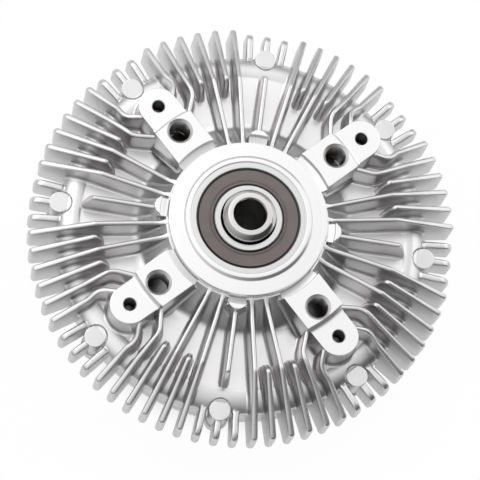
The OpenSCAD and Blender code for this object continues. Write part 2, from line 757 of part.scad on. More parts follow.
module valve_lever() {
    tail = port_d / 2 + 1.5;
    color("#c7b27a") difference() {
        union() {
            translate([pivot_x, -valve_y - lever_w / 2, lever_z - lever_t])
                cube([lever_arm + port_x + tail, lever_w, lever_t]);
            translate([pivot_x, -valve_y, pivot_z]) rotate([90, 0, 0])
                cylinder(d = knuckle_d, h = lever_w, center = true);
            translate([pivot_x, -valve_y - lever_w / 2, pivot_z])
                cube([knuckle_d / 2, lever_w, lever_z - pivot_z]);
        }
        translate([pivot_x, -valve_y, pivot_z]) rotate([90, 0, 0])
            cylinder(d = pivot_d + 2 * run_gap, h = 2 * lever_w, center = true);
    }
}

module valve_pivot_pin() {
    color("#a4a7aa") translate([pivot_x, -valve_y, pivot_z]) rotate([90, 0, 0])
        cylinder(d = pivot_d, h = lever_w + 2 * (face_gap + ear_t), center = true);
}

module control_pin() {
    r = control_pin_d / 2;
    bottom = strip_z + face_gap;
    top = lever_z - lever_t - face_gap;
    color("#b0b3b6") translate([0, -valve_y, 0]) spin(concat(
        [[0, bottom], [r, bottom]],
        arc(0, top - r, r, r, 0, 90, 8)
    ));
}

module control_pin_seal() {
    r_in = control_pin_d / 2 + run_gap;
    r_out = control_pin_d / 2 + pin_seal_w;
    color("#232326") translate([0, -valve_y, 0]) tube(r_in, r_out, cover_face_z - pin_seal_w / 2, pin_seal_w);
}

module bimetal_strip() {
    color("#a8865a") translate([-strip_l / 2, -valve_y - strip_w / 2, strip_z - strip_t])
        cube([strip_l, strip_w, strip_t]);
}

// Folded sheet: a foot on the cover and an upright with a slot for the strip's end
module strip_bracket() {
    slot = strip_t + 2 * face_gap;
    difference() {
        translate([bracket_x, -valve_y - bracket_w / 2, cover_face_z - bracket_h])
            union() {
                cube([bracket_t, bracket_w, bracket_h]);
                translate([0, 0, bracket_h - bracket_t]) cube([bracket_foot, bracket_w, bracket_t]);
            }
        translate([bracket_x - 1, -valve_y - strip_w / 2 - face_gap, strip_z - strip_t - face_gap])
            cube([bracket_t + 2, strip_w + 2 * face_gap, slot]);
        translate([bracket_screw_x, -valve_y, cover_face_z - bracket_t - 1])
            cylinder(d = bracket_screw_d + 2 * fix_gap, h = bracket_t + 2);
    }
}

module strip_brackets() {
    color("#9fa1a4") {
        strip_bracket();
        mirror([1, 0, 0]) strip_bracket();
    }
}

module bracket_screws() {
    head_z = cover_face_z - bracket_t - bracket_head_h;
    color("#a9abae") for (s = [-1, 1]) translate([s * bracket_screw_x, -valve_y, 0]) difference() {
        union() {
            translate([0, 0, head_z]) cylinder(d = bracket_head_d, h = bracket_head_h);
            translate([0, 0, head_z + eps])
                cylinder(d = bracket_screw_d, h = bracket_head_h + bracket_t + bracket_screw_grip - eps);
        }
        translate([0, 0, head_z - 1])
            cylinder(d = bracket_screw_d * 0.8, h = 1 + bracket_head_h / 2, $fn = 6);
    }
}

clutch_body();
front_cover();
cover_seal_ring();
cover_screws();
input_shaft();
rotor_disc();
rotor_retaining_ring();
bearing_outer_ring();
bearing_inner_ring();
bearing_balls();
bearing_cage();
rear_bearing_seal();
front_bearing_seal();
shaft_lip_seal();
lip_seal_spring();
separator_plate();
plate_rivets();
valve_lever();
valve_pivot_pin();
control_pin();
control_pin_seal();
bimetal_strip();
strip_brackets();
bracket_screws();
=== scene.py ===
import math

import bmesh
import bpy
import numpy as np
from mathutils import Matrix, Vector


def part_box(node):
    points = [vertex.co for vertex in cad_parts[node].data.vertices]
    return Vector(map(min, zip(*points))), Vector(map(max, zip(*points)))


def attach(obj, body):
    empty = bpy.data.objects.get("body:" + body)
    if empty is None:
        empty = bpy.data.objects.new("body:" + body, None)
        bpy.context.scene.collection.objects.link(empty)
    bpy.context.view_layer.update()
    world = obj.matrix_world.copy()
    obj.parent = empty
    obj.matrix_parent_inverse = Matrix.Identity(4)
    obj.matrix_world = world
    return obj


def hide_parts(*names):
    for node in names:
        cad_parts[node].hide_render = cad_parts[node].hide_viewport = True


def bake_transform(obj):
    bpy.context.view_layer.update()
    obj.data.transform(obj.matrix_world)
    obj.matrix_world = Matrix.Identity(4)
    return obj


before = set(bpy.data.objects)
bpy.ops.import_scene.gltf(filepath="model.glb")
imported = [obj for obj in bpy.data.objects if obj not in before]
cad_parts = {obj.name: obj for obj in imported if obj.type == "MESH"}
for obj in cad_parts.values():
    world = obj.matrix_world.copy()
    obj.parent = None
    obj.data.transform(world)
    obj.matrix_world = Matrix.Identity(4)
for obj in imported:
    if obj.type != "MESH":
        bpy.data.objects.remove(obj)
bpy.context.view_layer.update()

# Rear housing: a pressure die casting in aluminium, with 72 cooling fins, ribs and blind screw
# bosses left as they come from the die. The hub, the lip rolled over the bearing and the tops of
# the four fan lugs are turned in one setting, and the lugs are drilled and tapped.
mm = 0.001
bearing_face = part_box("bearing_outer_ring")[1].z / mm
bearing_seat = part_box("bearing_outer_ring")[0].z / mm
bearing_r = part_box("bearing_outer_ring")[1].x / mm
joint_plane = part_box("clutch_body")[0].z / mm
tip_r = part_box("clutch_body")[1].x / mm
chamber_r = 54.0
chamber_top = joint_plane + 6.5
floor_level = bearing_face - 14.0
hub_level = bearing_face - 0.4
hub_r = 25.5
groove_level = bearing_face - 3.1
rim_r = 60.5
bead_r = 53.3
bead_rise = 0.3
bead_crown_r = 54.7
bead_round = 7.0
bearing_stop_r = 17.0
cone_top_r, cone_foot_r, floor_start_r = 26.5, 33.6, 37.0
round_steps = 160


def arc(centre_r, centre_z, reach_r, reach_z, start, end, steps):
    """Points of a round stretch in the radius and height plane, angles in degrees."""
    angles = np.radians(np.linspace(start, end, steps + 1))
    return [(centre_r + reach_r * math.cos(a), centre_z + reach_z * math.sin(a)) for a in angles]


lip_in_r, lip_end_r, lip_rise, lip_round = 18.6, 19.8, 0.5, 0.25
hub_in_r, hub_edge = 21.0, 0.4
hub_skin = [
    (bearing_r, bearing_face), (lip_in_r, bearing_face),
    *arc(lip_in_r + lip_round, bearing_face + lip_rise - lip_round, lip_round, lip_round, 180, 90, 3),
    (lip_end_r, bearing_face + lip_rise), (lip_end_r + 0.3, bearing_face + lip_rise - 0.1),
    (hub_in_r - 0.3, hub_level + 0.14), (hub_in_r, hub_level), (hub_r - hub_edge, hub_level),
    (hub_r - 0.1, hub_level - 0.12), (hub_r, hub_level - hub_edge),
    (hub_r, groove_level + 0.12), (hub_r + 0.12, groove_level),
]
cast_skin = [
    (cone_top_r - 0.3, groove_level), (cone_top_r, groove_level - 0.5), (cone_foot_r, floor_level + 1.5),
    (cone_foot_r + 0.9, floor_level + 0.62), (cone_foot_r + 1.9, floor_level + 0.15), (floor_start_r, floor_level),
    (bead_r - 0.5, floor_level), (bead_r, floor_level + 0.12),
    (bead_r + 0.4, floor_level + bead_rise - 0.04),
    *arc(bead_crown_r, floor_level + bead_rise - bead_round, bead_round, bead_round, 90, 40, 10),
    (60.38, floor_level - 2.6), (rim_r, floor_level - 3.2),
]
first_land_r, land_pitch, land_count, land_half, land_h = 31.0, 4.0, 6, 0.75, 4.5
chamber_skin = [(rim_r, joint_plane + 0.2), (rim_r - 0.2, joint_plane), (chamber_r, joint_plane),
                (chamber_r, chamber_top)]
for i in reversed(range(land_count)):
    r = first_land_r + land_pitch * i
    chamber_skin += [(r + land_half, chamber_top), (r + land_half, chamber_top - land_h),
                     (r - land_half, chamber_top - land_h), (r - land_half, chamber_top)]
chamber_skin += [(bearing_stop_r, chamber_top), (bearing_stop_r, bearing_seat), (bearing_r, bearing_seat)]


def ground(r):
    """Height of the casting's skin between the fins; outside the rim it is the joint plane."""
    if r > rim_r:
        return joint_plane
    return float(np.interp(r, [p[0] for p in cast_skin], [p[1] for p in cast_skin]))


def revolve(bm, profile, steps):
    """Closed profile turned about the shaft axis. Returns the faces, profile edge by profile edge."""
    turns = np.linspace(0, 2 * math.pi, steps, endpoint=False)
    rings = [[bm.verts.new((r * math.cos(a), r * math.sin(a), z)) for a in turns] for r, z in profile]
    bands = []
    for low, high in zip(rings, rings[1:] + rings[:1]):
        bands.append([bm.faces.new((low[i], low[(i + 1) % steps], high[(i + 1) % steps], high[i]))
                      for i in range(steps)])
    return bands


# Fin sizes: a crest with rounded edges, one degree and a half of draft and a fillet at the foot, which
# goes on a little below the skin. Free ends are round in plan, down to a blunt share of the width
crest_level = bearing_face - 3.7
tip_level = bearing_face - 13.5
crest_break_r = 49.0
crest_half = 0.78
draft = 0.028
foot_fillet = 1.0
fillet_sink = 0.06
buried = 0.8
under_round = 0.35
crest_round = 0.72
end_round = 1.1
nose_round = 2.0
tip_drop = 0.9
blunt = 0.1


def long_crest(r):
    """Level inside, then a straight fall to the tip with its corner rounded."""
    slope = (crest_level - tip_level) / (tip_r - crest_break_r)
    level = crest_level - max(0.0, r - crest_break_r) * slope
    into_tip = max(0.0, (r - tip_r + end_round) / end_round)
    return level - tip_drop * (1 - math.sqrt(max(0.0, 1 - into_tip ** 2)))


def short_crest(r):
    """A round nose that climbs from the floor to the level of the long fins."""
    foot_r, top_r = 45.4, 50.0
    climb = min(1.0, max(0.0, (r - foot_r) / (top_r - foot_r)))
    low = floor_level + 0.2
    return low + (long_crest(r) - low) * (1 - (1 - climb) ** 2) ** 0.6


def stub_crest(r):
    """Low fin beyond the rim, round at both ends."""
    level, corner, nose_r, nose = bearing_face - 15.2, 3.6, 60.6, 1.6
    into_tip = min(1.0, max(0.0, (r - tip_r + corner) / corner))
    into_nose = min(1.0, max(0.0, (nose_r - r) / nose))
    return (level - corner * (1 - math.sqrt(max(0.0, 1 - into_tip ** 2)))
            - nose * (1 - math.sqrt(max(0.0, 1 - into_nose ** 2))))


def rib_crest(r):
    """Level, with a round end that falls to the floor in front of the bead."""
    fall_r, foot_r = 49.6, 53.4
    drop = min(1.0, max(0.0, (r - fall_r) / (foot_r - fall_r)))
    low = floor_level + 0.4
    return crest_level - (crest_level - low) * (1 - math.cos(drop * math.pi / 2)) ** 0.85


def fin_slice(at, across, crest, pinch, skin, edge_r, blade):
    """Loop of points round one upright slice of a fin; past the skin's edge its underside is free."""
    r = math.hypot(*at)
    outside = r > edge_r
    foot = skin(r)
    top = max(crest, foot + 0.15)
    fillet = -under_round if outside else min(foot_fillet, 0.45 * (top - foot))
    crown = min(crest_round, 0.45 * (top - foot))

    def half(z):
        return (blade[0] + blade[1] * (blade[2] - z)) * pinch

    side = [(half(foot) * 0.5, foot) if outside else (half(foot) + fillet * pinch, foot - buried)]
    sunk = 0.0 if outside else fillet_sink
    for a in np.radians((0, 30, 60, 90)):
        z = foot - sunk + abs(fillet) * (1 - math.cos(a))
        side.append((half(z) + fillet * (1 - math.sin(a)) * pinch, z))
    shoulder = half(top - crown)
    for a in np.radians((0, 25, 50, 75)):
        side.append((shoulder - min(crown, shoulder) * (1 - math.cos(a)), top - crown + crown * math.sin(a)))
    loop = side + [(0.0, top)] + [(-s, z) for s, z in reversed(side)]
    return [(at[0] + across[0] * s, at[1] + across[1] * s, z) for s, z in loop]


def loft(bm, slices, turned=False):
    """Closed shell through slices with the same number of points."""
    mark = bm.faces.layers.bool.get("turned")
    rings = [[bm.verts.new(p) for p in s] for s in slices]
    for near, far in zip(rings, rings[1:]):
        for i in range(len(near)):
            k = (i + 1) % len(near)
            face = bm.faces.new((near[i], near[k], far[k], far[i]))
            if turned:
                face[mark] = True
    bm.faces.new(rings[0][::-1])
    bm.faces.new(rings[-1])


def fin(bm, path, crest, free_start=0.0, free_end=end_round, skin=ground, edge_r=rim_r,
        blade=(crest_half, draft, crest_level)):
    """A fin along a plan path, rounded in plan at its free ends over the lengths given."""
    path = [np.array(p, float) for p in path]
    run = np.cumsum([0] + [np.linalg.norm(b - a) for a, b in zip(path, path[1:])])
    slices = []
    for i, at in enumerate(path):
        ahead = path[min(i + 1, len(path) - 1)] - path[max(i - 1, 0)]
        ahead = ahead / np.linalg.norm(ahead)
        pinch = 1.0
        for length, gone in ((free_start, run[i]), (free_end, run[-1] - run[i])):
            if gone < length:
                pinch = min(pinch, blunt + (1 - blunt) * math.sqrt(1 - (1 - gone / length) ** 2))
        slices.append(fin_slice(at, (-ahead[1], ahead[0]), crest(math.hypot(*at)), pinch, skin, edge_r, blade))
    loft(bm, slices)


def ray(angle, radii):
    """Plan points straight out from the shaft axis."""
    return [(r * math.cos(math.radians(angle)), r * math.sin(math.radians(angle))) for r in radii]


rim_stations = [r for r, z in cast_skin if bead_r <= r] + [60.9, 63.0, 65.5, 67.6]
tip_stations = [tip_r - end_round * k for k in (1.0, 0.7, 0.42, 0.2, 0.06, 0.0)]
foot_stations = [r for r, z in cast_skin if cone_foot_r <= r <= floor_start_r]
long_stations = [24.5, 26.0, 28.0, 30.0, 32.0, *foot_stations, 42.0, 47.0, 48.4, 49.0, 49.6, 51.5]
short_stations = [45.4, 45.43, 45.5, 45.62, 45.8, 46.05, 46.35, 46.7, 47.1, 47.5, 48.0, 48.6, 49.3, 50.0, 51.5]
stub_stations = [59.0, 59.05, 59.2, 59.4, 59.7, 60.0, 60.3, 60.9, 63.0, 65.5, 66.6, 67.4, 68.2]


def bent_path(angle, bend, end):
    """From beside a lug out to the tip circle, eased round the bend."""
    tip_run = ray(angle, [r for r in rim_stations if r > 56.0] + tip_stations)
    bend, end = np.array(bend), np.array(end)
    out = np.array(tip_run[0])
    ease = 2.2
    into = bend + (end - bend) / np.linalg.norm(end - bend) * ease
    away = bend + (out - bend) / np.linalg.norm(out - bend) * ease
    turn = [into * (1 - t) ** 2 + bend * 2 * t * (1 - t) + away * t ** 2 for t in np.linspace(0, 1, 7)]
    return [end, (end + into) / 2, *turn, *[away + (out - away) * t for t in (0.3, 0.65)], *tip_run]


# The pattern from a lug to the rib halfway to the next one, five degrees from fin to fin.
one_side = bmesh.new()
fin(one_side, ray(5, stub_stations + tip_stations), stub_crest, free_start=end_round)
fin(one_side, bent_path(10, (51.4, 10.0), (47.6, 5.9)), long_crest)
fin(one_side, bent_path(15, (44.6, 12.4), (39.6, 6.4)), long_crest)
for angle in (20, 30):
    fin(one_side, ray(angle, short_stations + rim_stations + tip_stations), short_crest, free_start=nose_round)
for angle in (25, 35):
    fin(one_side, ray(angle, long_stations + rim_stations + tip_stations), long_crest)
fin(one_side, ray(40, stub_stations + tip_stations), stub_crest, free_start=end_round)


def grown(outline, by):
    """A plan outline, counter-clockwise, moved outwards with mitred corners."""
    points = np.array(outline, float)
    edge = np.roll(points, -1, 0) - points
    edge /= np.linalg.norm(edge, axis=1)[:, None]
    out = np.stack([edge[:, 1], -edge[:, 0]], 1)
    before = np.roll(out, 1, 0)
    mitre = (out + before) / (1 + (out * before).sum(1))[:, None]
    return points + mitre * by


def post(bm, outline, top, edge, fillet=foot_fillet, holes=(), turned=True, skin=ground):
    """Solid that stands on the casting: fillet, drafted wall, broken top edge, and bores from the top.
    Past the rim the wall runs straight down to the joint, without a fillet."""
    mark = bm.faces.layers.bool.get("turned")
    points = np.array(outline, float)
    out = grown(outline, 1.0) - points
    flare = np.array([0.0 if math.hypot(*p) > rim_r else fillet for p in points])
    foot = np.array([skin(math.hypot(*p)) for p in points + out * flare[:, None]])
    levels = [[(*p, z) for p, z in zip(points + out * flare[:, None], np.where(flare, foot - buried, foot))]]
    for a in np.radians((0, 30, 60, 90)):
        ring = points + out * (flare * (1 - math.sin(a)) + np.where(flare, 0.3, 0.1))[:, None]
        levels.append([(*p, z) for p, z in zip(ring, foot + flare * (1 - math.cos(a)))])
    for a in np.radians((0, 45, 90)):
        ring = grown(outline, -edge * (1 - math.cos(a)))
        levels.append([(x, y, top - edge + edge * math.sin(a)) for x, y in ring])
    rings = [[bm.verts.new(p) for p in level] for level in levels]
    count = len(outline)
    for low, high in zip(rings, rings[1:]):
        for i in range(count):
            bm.faces.new((low[i], low[(i + 1) % count], high[(i + 1) % count], high[i]))
    bm.faces.new(rings[0][::-1])
    rims = [rings[-1]] + [bore(bm, *hole) for hole in holes]
    loops = [bm.edges.get((r[i], r[(i + 1) % len(r)])) or bm.edges.new((r[i], r[(i + 1) % len(r)]))
             for r in rims for i in range(len(r))]
    made = bmesh.ops.triangle_fill(bm, edges=loops, use_beauty=True)["geom"]
    for face in made:
        if isinstance(face, bmesh.types.BMFace):
            face[mark] = turned


def bore(bm, centre, radii_at, levels, steps):
    """Turned countersink, wall and drill point of a blind hole. Returns the ring of points at its mouth."""
    countersunk, mark = (bm.faces.layers.bool.get(surface) for surface in ("turned", "drilled"))
    turns = np.linspace(0, 2 * math.pi, steps, endpoint=False)
    rings = []
    for z in levels:
        radii = [radii_at(z, a) for a in turns]
        rings.append([bm.verts.new((centre + r * math.cos(a), r * math.sin(a), z))
                      for r, a in zip(radii, turns)])
    for high, low in zip(rings, rings[1:]):
        for i in range(steps):
            face = bm.faces.new((high[i], high[(i + 1) % steps], low[(i + 1) % steps], low[i]))
            face[countersunk if high is rings[0] else mark] = True
    point = bm.verts.new((centre, 0, levels[-1] - point_depth * radii_at(levels[-1], 0.0)))
    for i in range(steps):
        bm.faces.new((rings[-1][i], rings[-1][(i + 1) % steps], point))[mark] = True
    return rings[0]


pad_level, tongue_level = bearing_face - 0.55, bearing_face - 2.55
pad_in_r, step_r, pad_half = 28.3, 40.5, 7.1
tongue_half, dowel_r_at, fan_r_at = 6.4, 47.25, 36.1
tongue_start, lug_edge = 39.7, 0.25
thread_pitch, thread_core, thread_root, mouth_r, mouth_depth, thread_depth = 1.25, 3.4, 4.0, 4.2, 0.8, 13.0
thread_run_in, thread_run_out = 0.5, 2.0
dowel_r, dowel_depth, dowel_chamfer = 2.0, 9.0, 0.25
# The drill's point of 118 degrees makes a cone of this share of the radius
point_depth = 0.6


def thread_radius(z, a):
    """Tapped wall: the helix rises one pitch a turn, under a plain countersunk mouth."""
    below = pad_level - z
    if below < mouth_depth:
        return mouth_r - (mouth_r - thread_core) * below / mouth_depth
    turn = (z / thread_pitch - a / (2 * math.pi)) % 1.0
    wave = 1 - abs(2 * turn - 1)
    fade = min(1.0, (below - mouth_depth) / thread_run_in) if below < thread_depth - thread_run_out else 0.0
    return thread_core + (thread_root - thread_core) * wave * fade


def dowel_radius(z, a):
    """Plain reamed wall with a broken edge."""
    return dowel_r + max(0.0, dowel_chamfer - (tongue_level - z))


thread_levels = [pad_level, *np.arange(pad_level - mouth_depth, pad_level - thread_depth, -thread_pitch / 8)]
dowel_levels = [tongue_level, tongue_level - dowel_chamfer, tongue_level - dowel_depth]

on_axis = bmesh.new()
for bm in (one_side, on_axis):
    for surface in ("turned", "drilled"):
        bm.faces.layers.bool.new(surface)
for angle in (0, 45):
    fin(on_axis, ray(angle, stub_stations + tip_stations), stub_crest, free_start=end_round)
rib_stations = [27.0, 30.0, *foot_stations, 42.0, 46.0, 48.0, 49.0, 49.6, 50.2, 50.9, 51.6, 52.1, 52.5, 52.8, 53.05,
                53.2, 53.3]
fin(on_axis, ray(45, rib_stations), rib_crest, free_end=nose_round)


def across_arc(radius, half_width, steps=10):
    """Arc about the shaft axis over a lug's width, from one side to the other."""
    reach = math.asin(half_width / radius)
    return [(radius * math.cos(a), radius * math.sin(a)) for a in np.linspace(-reach, reach, steps + 1)]


pad_outline = [*across_arc(step_r, pad_half), *reversed(across_arc(pad_in_r, pad_half))]
post(on_axis, pad_outline, pad_level, lug_edge, holes=[(fan_r_at, thread_radius, thread_levels, 40)])
tongue_end = [(dowel_r_at + x, y) for x, y in arc(0, 0, tongue_half, tongue_half, -90, 90, 20)]
post(on_axis, [(tongue_start, -tongue_half), *tongue_end, (tongue_start, tongue_half)], tongue_level, lug_edge,
     holes=[(dowel_r_at, dowel_radius, dowel_levels, 32)])

# Floor of the groove that the tool leaves between the hub and the lugs; it climbs a little outwards
groove_climb, groove_body = 0.55, 6.0


def groove_floor(half_width):
    """Turned strip over a lug's or nub's width, with its body below it."""
    reach = half_width / pad_in_r
    profile = [(hub_r - 0.3, groove_level - groove_body), (hub_r - 0.3, groove_level), (hub_r + 0.3, groove_level),
               (pad_in_r - 0.3, groove_level + groove_climb), (pad_in_r, groove_level + groove_climb + 0.35),
               (pad_in_r + 0.6, groove_level + groove_climb + 0.35), (pad_in_r + 0.6, groove_level - groove_body)]
    return [[(r * math.cos(a), r * math.sin(a), z) for r, z in profile] for a in np.linspace(-reach, reach, 13)]


loft(on_axis, groove_floor(pad_half), turned=True)

# Small fillet that the turning tool leaves where the pad steps down to the tongue
step_round, step_reach = 1.5, 0.155
step_turns = np.linspace(-step_reach, step_reach, 13)
step_profile = [(step_r - 0.3, tongue_level - 0.4), (step_r - 0.3, tongue_level + step_round),
                *[(step_r + step_round * (1 - math.cos(a)), tongue_level + step_round * (1 - math.sin(a)))
                  for a in np.radians((0, 15, 30, 45, 60, 75, 88))], (step_r + step_round, tongue_level - 0.4)]
loft(on_axis, [[(r * math.cos(a), r * math.sin(a), z) for r, z in step_profile] for a in step_turns], turned=True)

# Bosses that take the cover screws from below, and the half-round nub where each rib meets the hub
boss_r, boss_at, boss_level = 3.4, 60.0, bearing_face - 14.3
nub_half, nub_reach = 3.2, 30.2


def turned_about_axis(outline, angle):
    """A plan outline turned about the shaft axis, in degrees."""
    c, s = math.cos(math.radians(angle)), math.sin(math.radians(angle))
    return [(x * c - y * s, x * s + y * c) for x, y in outline]


boss_outline = [(boss_at + x, y) for x, y in arc(0, 0, boss_r, boss_r, 0, 360, 32)[:-1]]
for angle in (0, 45):
    post(on_axis, turned_about_axis(boss_outline, angle), boss_level, 0.15, fillet=0.5, turned=False)
nub_end = [(nub_reach - nub_half + x, y) for x, y in arc(0, 0, nub_half, nub_half, -70, 70, 14)]
nub_start = [(math.sqrt(pad_in_r ** 2 - y ** 2), y) for y in np.linspace(nub_half - 0.3, 0.3 - nub_half, 9)]
post(on_axis, turned_about_axis([*nub_end, *nub_start], 45), pad_level, 0.2, fillet=0.6)
loft(on_axis, [[(*turned_about_axis([(x, y)], 45)[0], z) for x, y, z in s]
               for s in groove_floor(nub_half - 0.1)], turned=True)


def as_object(name, bm):
    """Millimetre bmesh to an object in metres with its place in its mesh and its faces outwards."""
    bmesh.ops.recalc_face_normals(bm, faces=bm.faces)
    bmesh.ops.scale(bm, vec=(mm, mm, mm), verts=bm.verts)
    mesh = bpy.data.meshes.new(name)
    bm.to_mesh(mesh)
    bm.free()
    made = bpy.data.objects.new(name, mesh)
    bpy.context.scene.collection.objects.link(made)
    return made


def smoothed(made, sharp_angle):
    """Soft edges up to an angle, but not where the finish changes. Large faces keep their own
    direction, so that flats stay flat."""
    made.data.shade_smooth()
    made.data.set_sharp_from_angle(angle=math.radians(sharp_angle))
    bm = bmesh.new()
    bm.from_mesh(made.data)
    for edge in bm.edges:
        if len({face.material_index for face in edge.link_faces}) > 1:
            edge.smooth = False
    bm.to_mesh(made.data)
    bm.free()
    made.modifiers.new("true_flats", "WEIGHTED_NORMAL").keep_sharp = True


def add(tree, kind, links=None, **settings):
    """One node with its settings and inputs; an input is a value or another node's output."""
    made = tree.nodes.new(kind)
    for key, value in settings.items():
        setattr(made, key, value)
    for key, value in (links or {}).items():
        if isinstance(value, bpy.types.NodeSocket):
            tree.links.new(value, made.inputs[key])
        else:
            made.inputs[key].default_value = value
    return made


def linear(code, alpha=1.0):
    """sRGB hex colour to linear values."""
    parts = [int(code[i:i + 2], 16) / 255 for i in (1, 3, 5)]
    return (*[p / 12.92 if p <= 0.04045 else ((p + 0.055) / 1.055) ** 2.4 for p in parts], alpha)


def new_material(name):
    """Empty material, its tree and the place of the shaded point on the object."""
    made = bpy.data.materials.new(name)
    made.use_nodes = True
    made.node_tree.nodes.clear()
    return made, made.node_tree, add(made.node_tree, "ShaderNodeTexCoord").outputs["Object"]


def axis_distance(tree, place):
    """Distance of the shaded point from the shaft axis."""
    flat = add(tree, "ShaderNodeVectorMath", {0: place, 1: (1.0, 1.0, 0.0)}, operation="MULTIPLY")
    return add(tree, "ShaderNodeVectorMath", {0: flat.outputs["Vector"]}, operation="LENGTH").outputs["Value"]


# Die-cast aluminium: bright silver with a soft satin skin, faintly clouded by the flow of the metal,
# with a fine grain of about half a millimetre from the die face. The floors between the fins carry a
# painted light that makes them paler against the shade of the fins, and a grey painted shade lies low
# on the flanks where the fins stand closest
die_cast, tree, place = new_material("die_cast_aluminium")
grain = add(tree, "ShaderNodeTexNoise", {"Vector": place, "Scale": 1 / (0.5 * mm), "Detail": 3.0})
clouds = add(tree, "ShaderNodeTexNoise", {"Vector": place, "Scale": 1 / (9 * mm), "Detail": 4.0})
tint = add(tree, "ShaderNodeMix", {"Factor": clouds.outputs["Fac"], 6: linear("#CACACA"), 7: linear("#E0DFDF")},
           data_type="RGBA")
height = add(tree, "ShaderNodeSeparateXYZ", {"Vector": place})
# Painted light: the floor between the fins, inside the bead, is made paler against the shade of the fins round it
low = add(tree, "ShaderNodeMapRange", {"Value": height.outputs["Z"], "From Min": (floor_level + 0.2) * mm,
                                       "From Max": (floor_level + 1.2) * mm, "To Min": 0.7, "To Max": 0.0})
radius = axis_distance(tree, place)
within = add(tree, "ShaderNodeMapRange", {"Value": radius, "From Min": (bead_r - 1.0) * mm,
                                          "From Max": (bead_r + 1.0) * mm, "To Min": 1.0, "To Max": 0.0})
painted_floor_light = add(tree, "ShaderNodeMath", {0: low.outputs["Result"], 1: within.outputs["Result"]}, operation="MULTIPLY")
tint = add(tree, "ShaderNodeMix", {"Factor": painted_floor_light.outputs["Value"], 6: tint.outputs[2], 7: linear("#EEEDED")},
           data_type="RGBA")
# Painted shade: a grey tint low on the flanks of the closest fins, 42 to 61 mm out, where shade falls between them
above = add(tree, "ShaderNodeMapRange", {"Value": height.outputs["Z"], "From Min": (floor_level + 0.4) * mm,
                                         "From Max": (floor_level + 1.2) * mm, "To Min": 0.0, "To Max": 0.5})
below = add(tree, "ShaderNodeMapRange", {"Value": height.outputs["Z"], "From Min": (floor_level + 2.5) * mm,
                                         "From Max": (floor_level + 8.0) * mm, "To Min": 1.0, "To Max": 0.0})
past = add(tree, "ShaderNodeMapRange", {"Value": radius, "From Min": 42 * mm, "From Max": 46 * mm})
short_of = add(tree, "ShaderNodeMapRange", {"Value": radius, "From Min": 55 * mm, "From Max": 61 * mm,
                                            "To Min": 1.0, "To Max": 0.0})
painted_flank_shade = above.outputs["Result"]
for limit in (below, past, short_of):
    painted_flank_shade = add(tree, "ShaderNodeMath", {0: painted_flank_shade, 1: limit.outputs["Result"]}, operation="MULTIPLY").outputs["Value"]
tint = add(tree, "ShaderNodeMix", {"Factor": painted_flank_shade, 6: tint.outputs[2], 7: linear("#7C7877")}, data_type="RGBA")
satin = add(tree, "ShaderNodeMapRange", {"Value": clouds.outputs["Fac"], "From Min": 0.3, "From Max": 0.7,
                                         "To Min": 0.27, "To Max": 0.36})
bump = add(tree, "ShaderNodeBump", {"Height": grain.outputs["Fac"], "Strength": 0.25, "Distance": 0.05 * mm})
skin = add(tree, "ShaderNodeBsdfPrincipled", {"Base Color": tint.outputs[2], "Metallic": 1.0,
                                              "Roughness": satin.outputs["Result"], "Normal": bump.outputs["Normal"]})
add(tree, "ShaderNodeOutputMaterial", {"Surface": skin.outputs["BSDF"]})

# Turned aluminium: paler than the casting, with rings of tool marks about the shaft axis. Feed marks
# of a tenth of a millimetre would not show, so they are drawn 0.35 mm apart
turned_metal, tree, place = new_material("turned_aluminium")
radius = axis_distance(tree, place)
phase = add(tree, "ShaderNodeMath", {0: radius, 1: 1 / (0.35 * mm)}, operation="MULTIPLY")
marks = add(tree, "ShaderNodeTexNoise", {"W": phase.outputs["Value"], "Scale": 1.0, "Detail": 3.0},
            noise_dimensions="1D")
tint = add(tree, "ShaderNodeMix", {"Factor": marks.outputs["Fac"], 6: linear("#E0E0E0"), 7: linear("#EDEDED")},
           data_type="RGBA")
bump = add(tree, "ShaderNodeBump", {"Height": marks.outputs["Fac"], "Strength": 0.12, "Distance": 0.03 * mm})
skin = add(tree, "ShaderNodeBsdfPrincipled", {"Base Color": tint.outputs[2], "Metallic": 1.0, "Roughness": 0.36,
                                              "Normal": bump.outputs["Normal"]})
add(tree, "ShaderNodeOutputMaterial", {"Surface": skin.outputs["BSDF"]})

# Drilled and tapped aluminium: bright at the mouth, then a painted shade that darkens the walls further down the hole
drilled_metal, tree, place = new_material("drilled_aluminium")
height = add(tree, "ShaderNodeSeparateXYZ", {"Vector": place})
smear = add(tree, "ShaderNodeTexNoise", {"Vector": place, "Scale": 1 / (2 * mm), "Detail": 2.0})
# Painted shade: the walls go from bright at the mouth to dark about 11 mm down
painted_light_by_depth = add(tree, "ShaderNodeMapRange", {"Value": height.outputs["Z"], "From Min": (bearing_face - 11.0) * mm,
                                        "From Max": (bearing_face - 1.0) * mm, "To Min": 0.0, "To Max": 0.7})
bright = add(tree, "ShaderNodeMath", {0: smear.outputs["Fac"], 1: 0.3, 2: painted_light_by_depth.outputs["Result"]},
             operation="MULTIPLY_ADD")
tint = add(tree, "ShaderNodeMix", {"Factor": bright.outputs["Value"], 6: linear("#3A3533"), 7: linear("#DEDCDB")},
           data_type="RGBA")
skin = add(tree, "ShaderNodeBsdfPrincipled", {"Base Color": tint.outputs[2], "Metallic": 1.0, "Roughness": 0.3})
add(tree, "ShaderNodeOutputMaterial", {"Surface": skin.outputs["BSDF"]})

# Quarter pattern: one side is mirrored on a lug and joined to what stands on the middle lines. It is set
# round the axis four times and joined to the section that is swept round the axis
housing_bm = bmesh.new()
mark = housing_bm.faces.layers.bool.new("turned")
bands = revolve(housing_bm, hub_skin + cast_skin + chamber_skin, round_steps)
for band in bands[:len(hub_skin)]:
    for face in band:
        face[mark] = True
housing = as_object("rear_housing", housing_bm)
side_source, axis_source = as_object("lug_side_fins", one_side), as_object("lug_and_rib", on_axis)


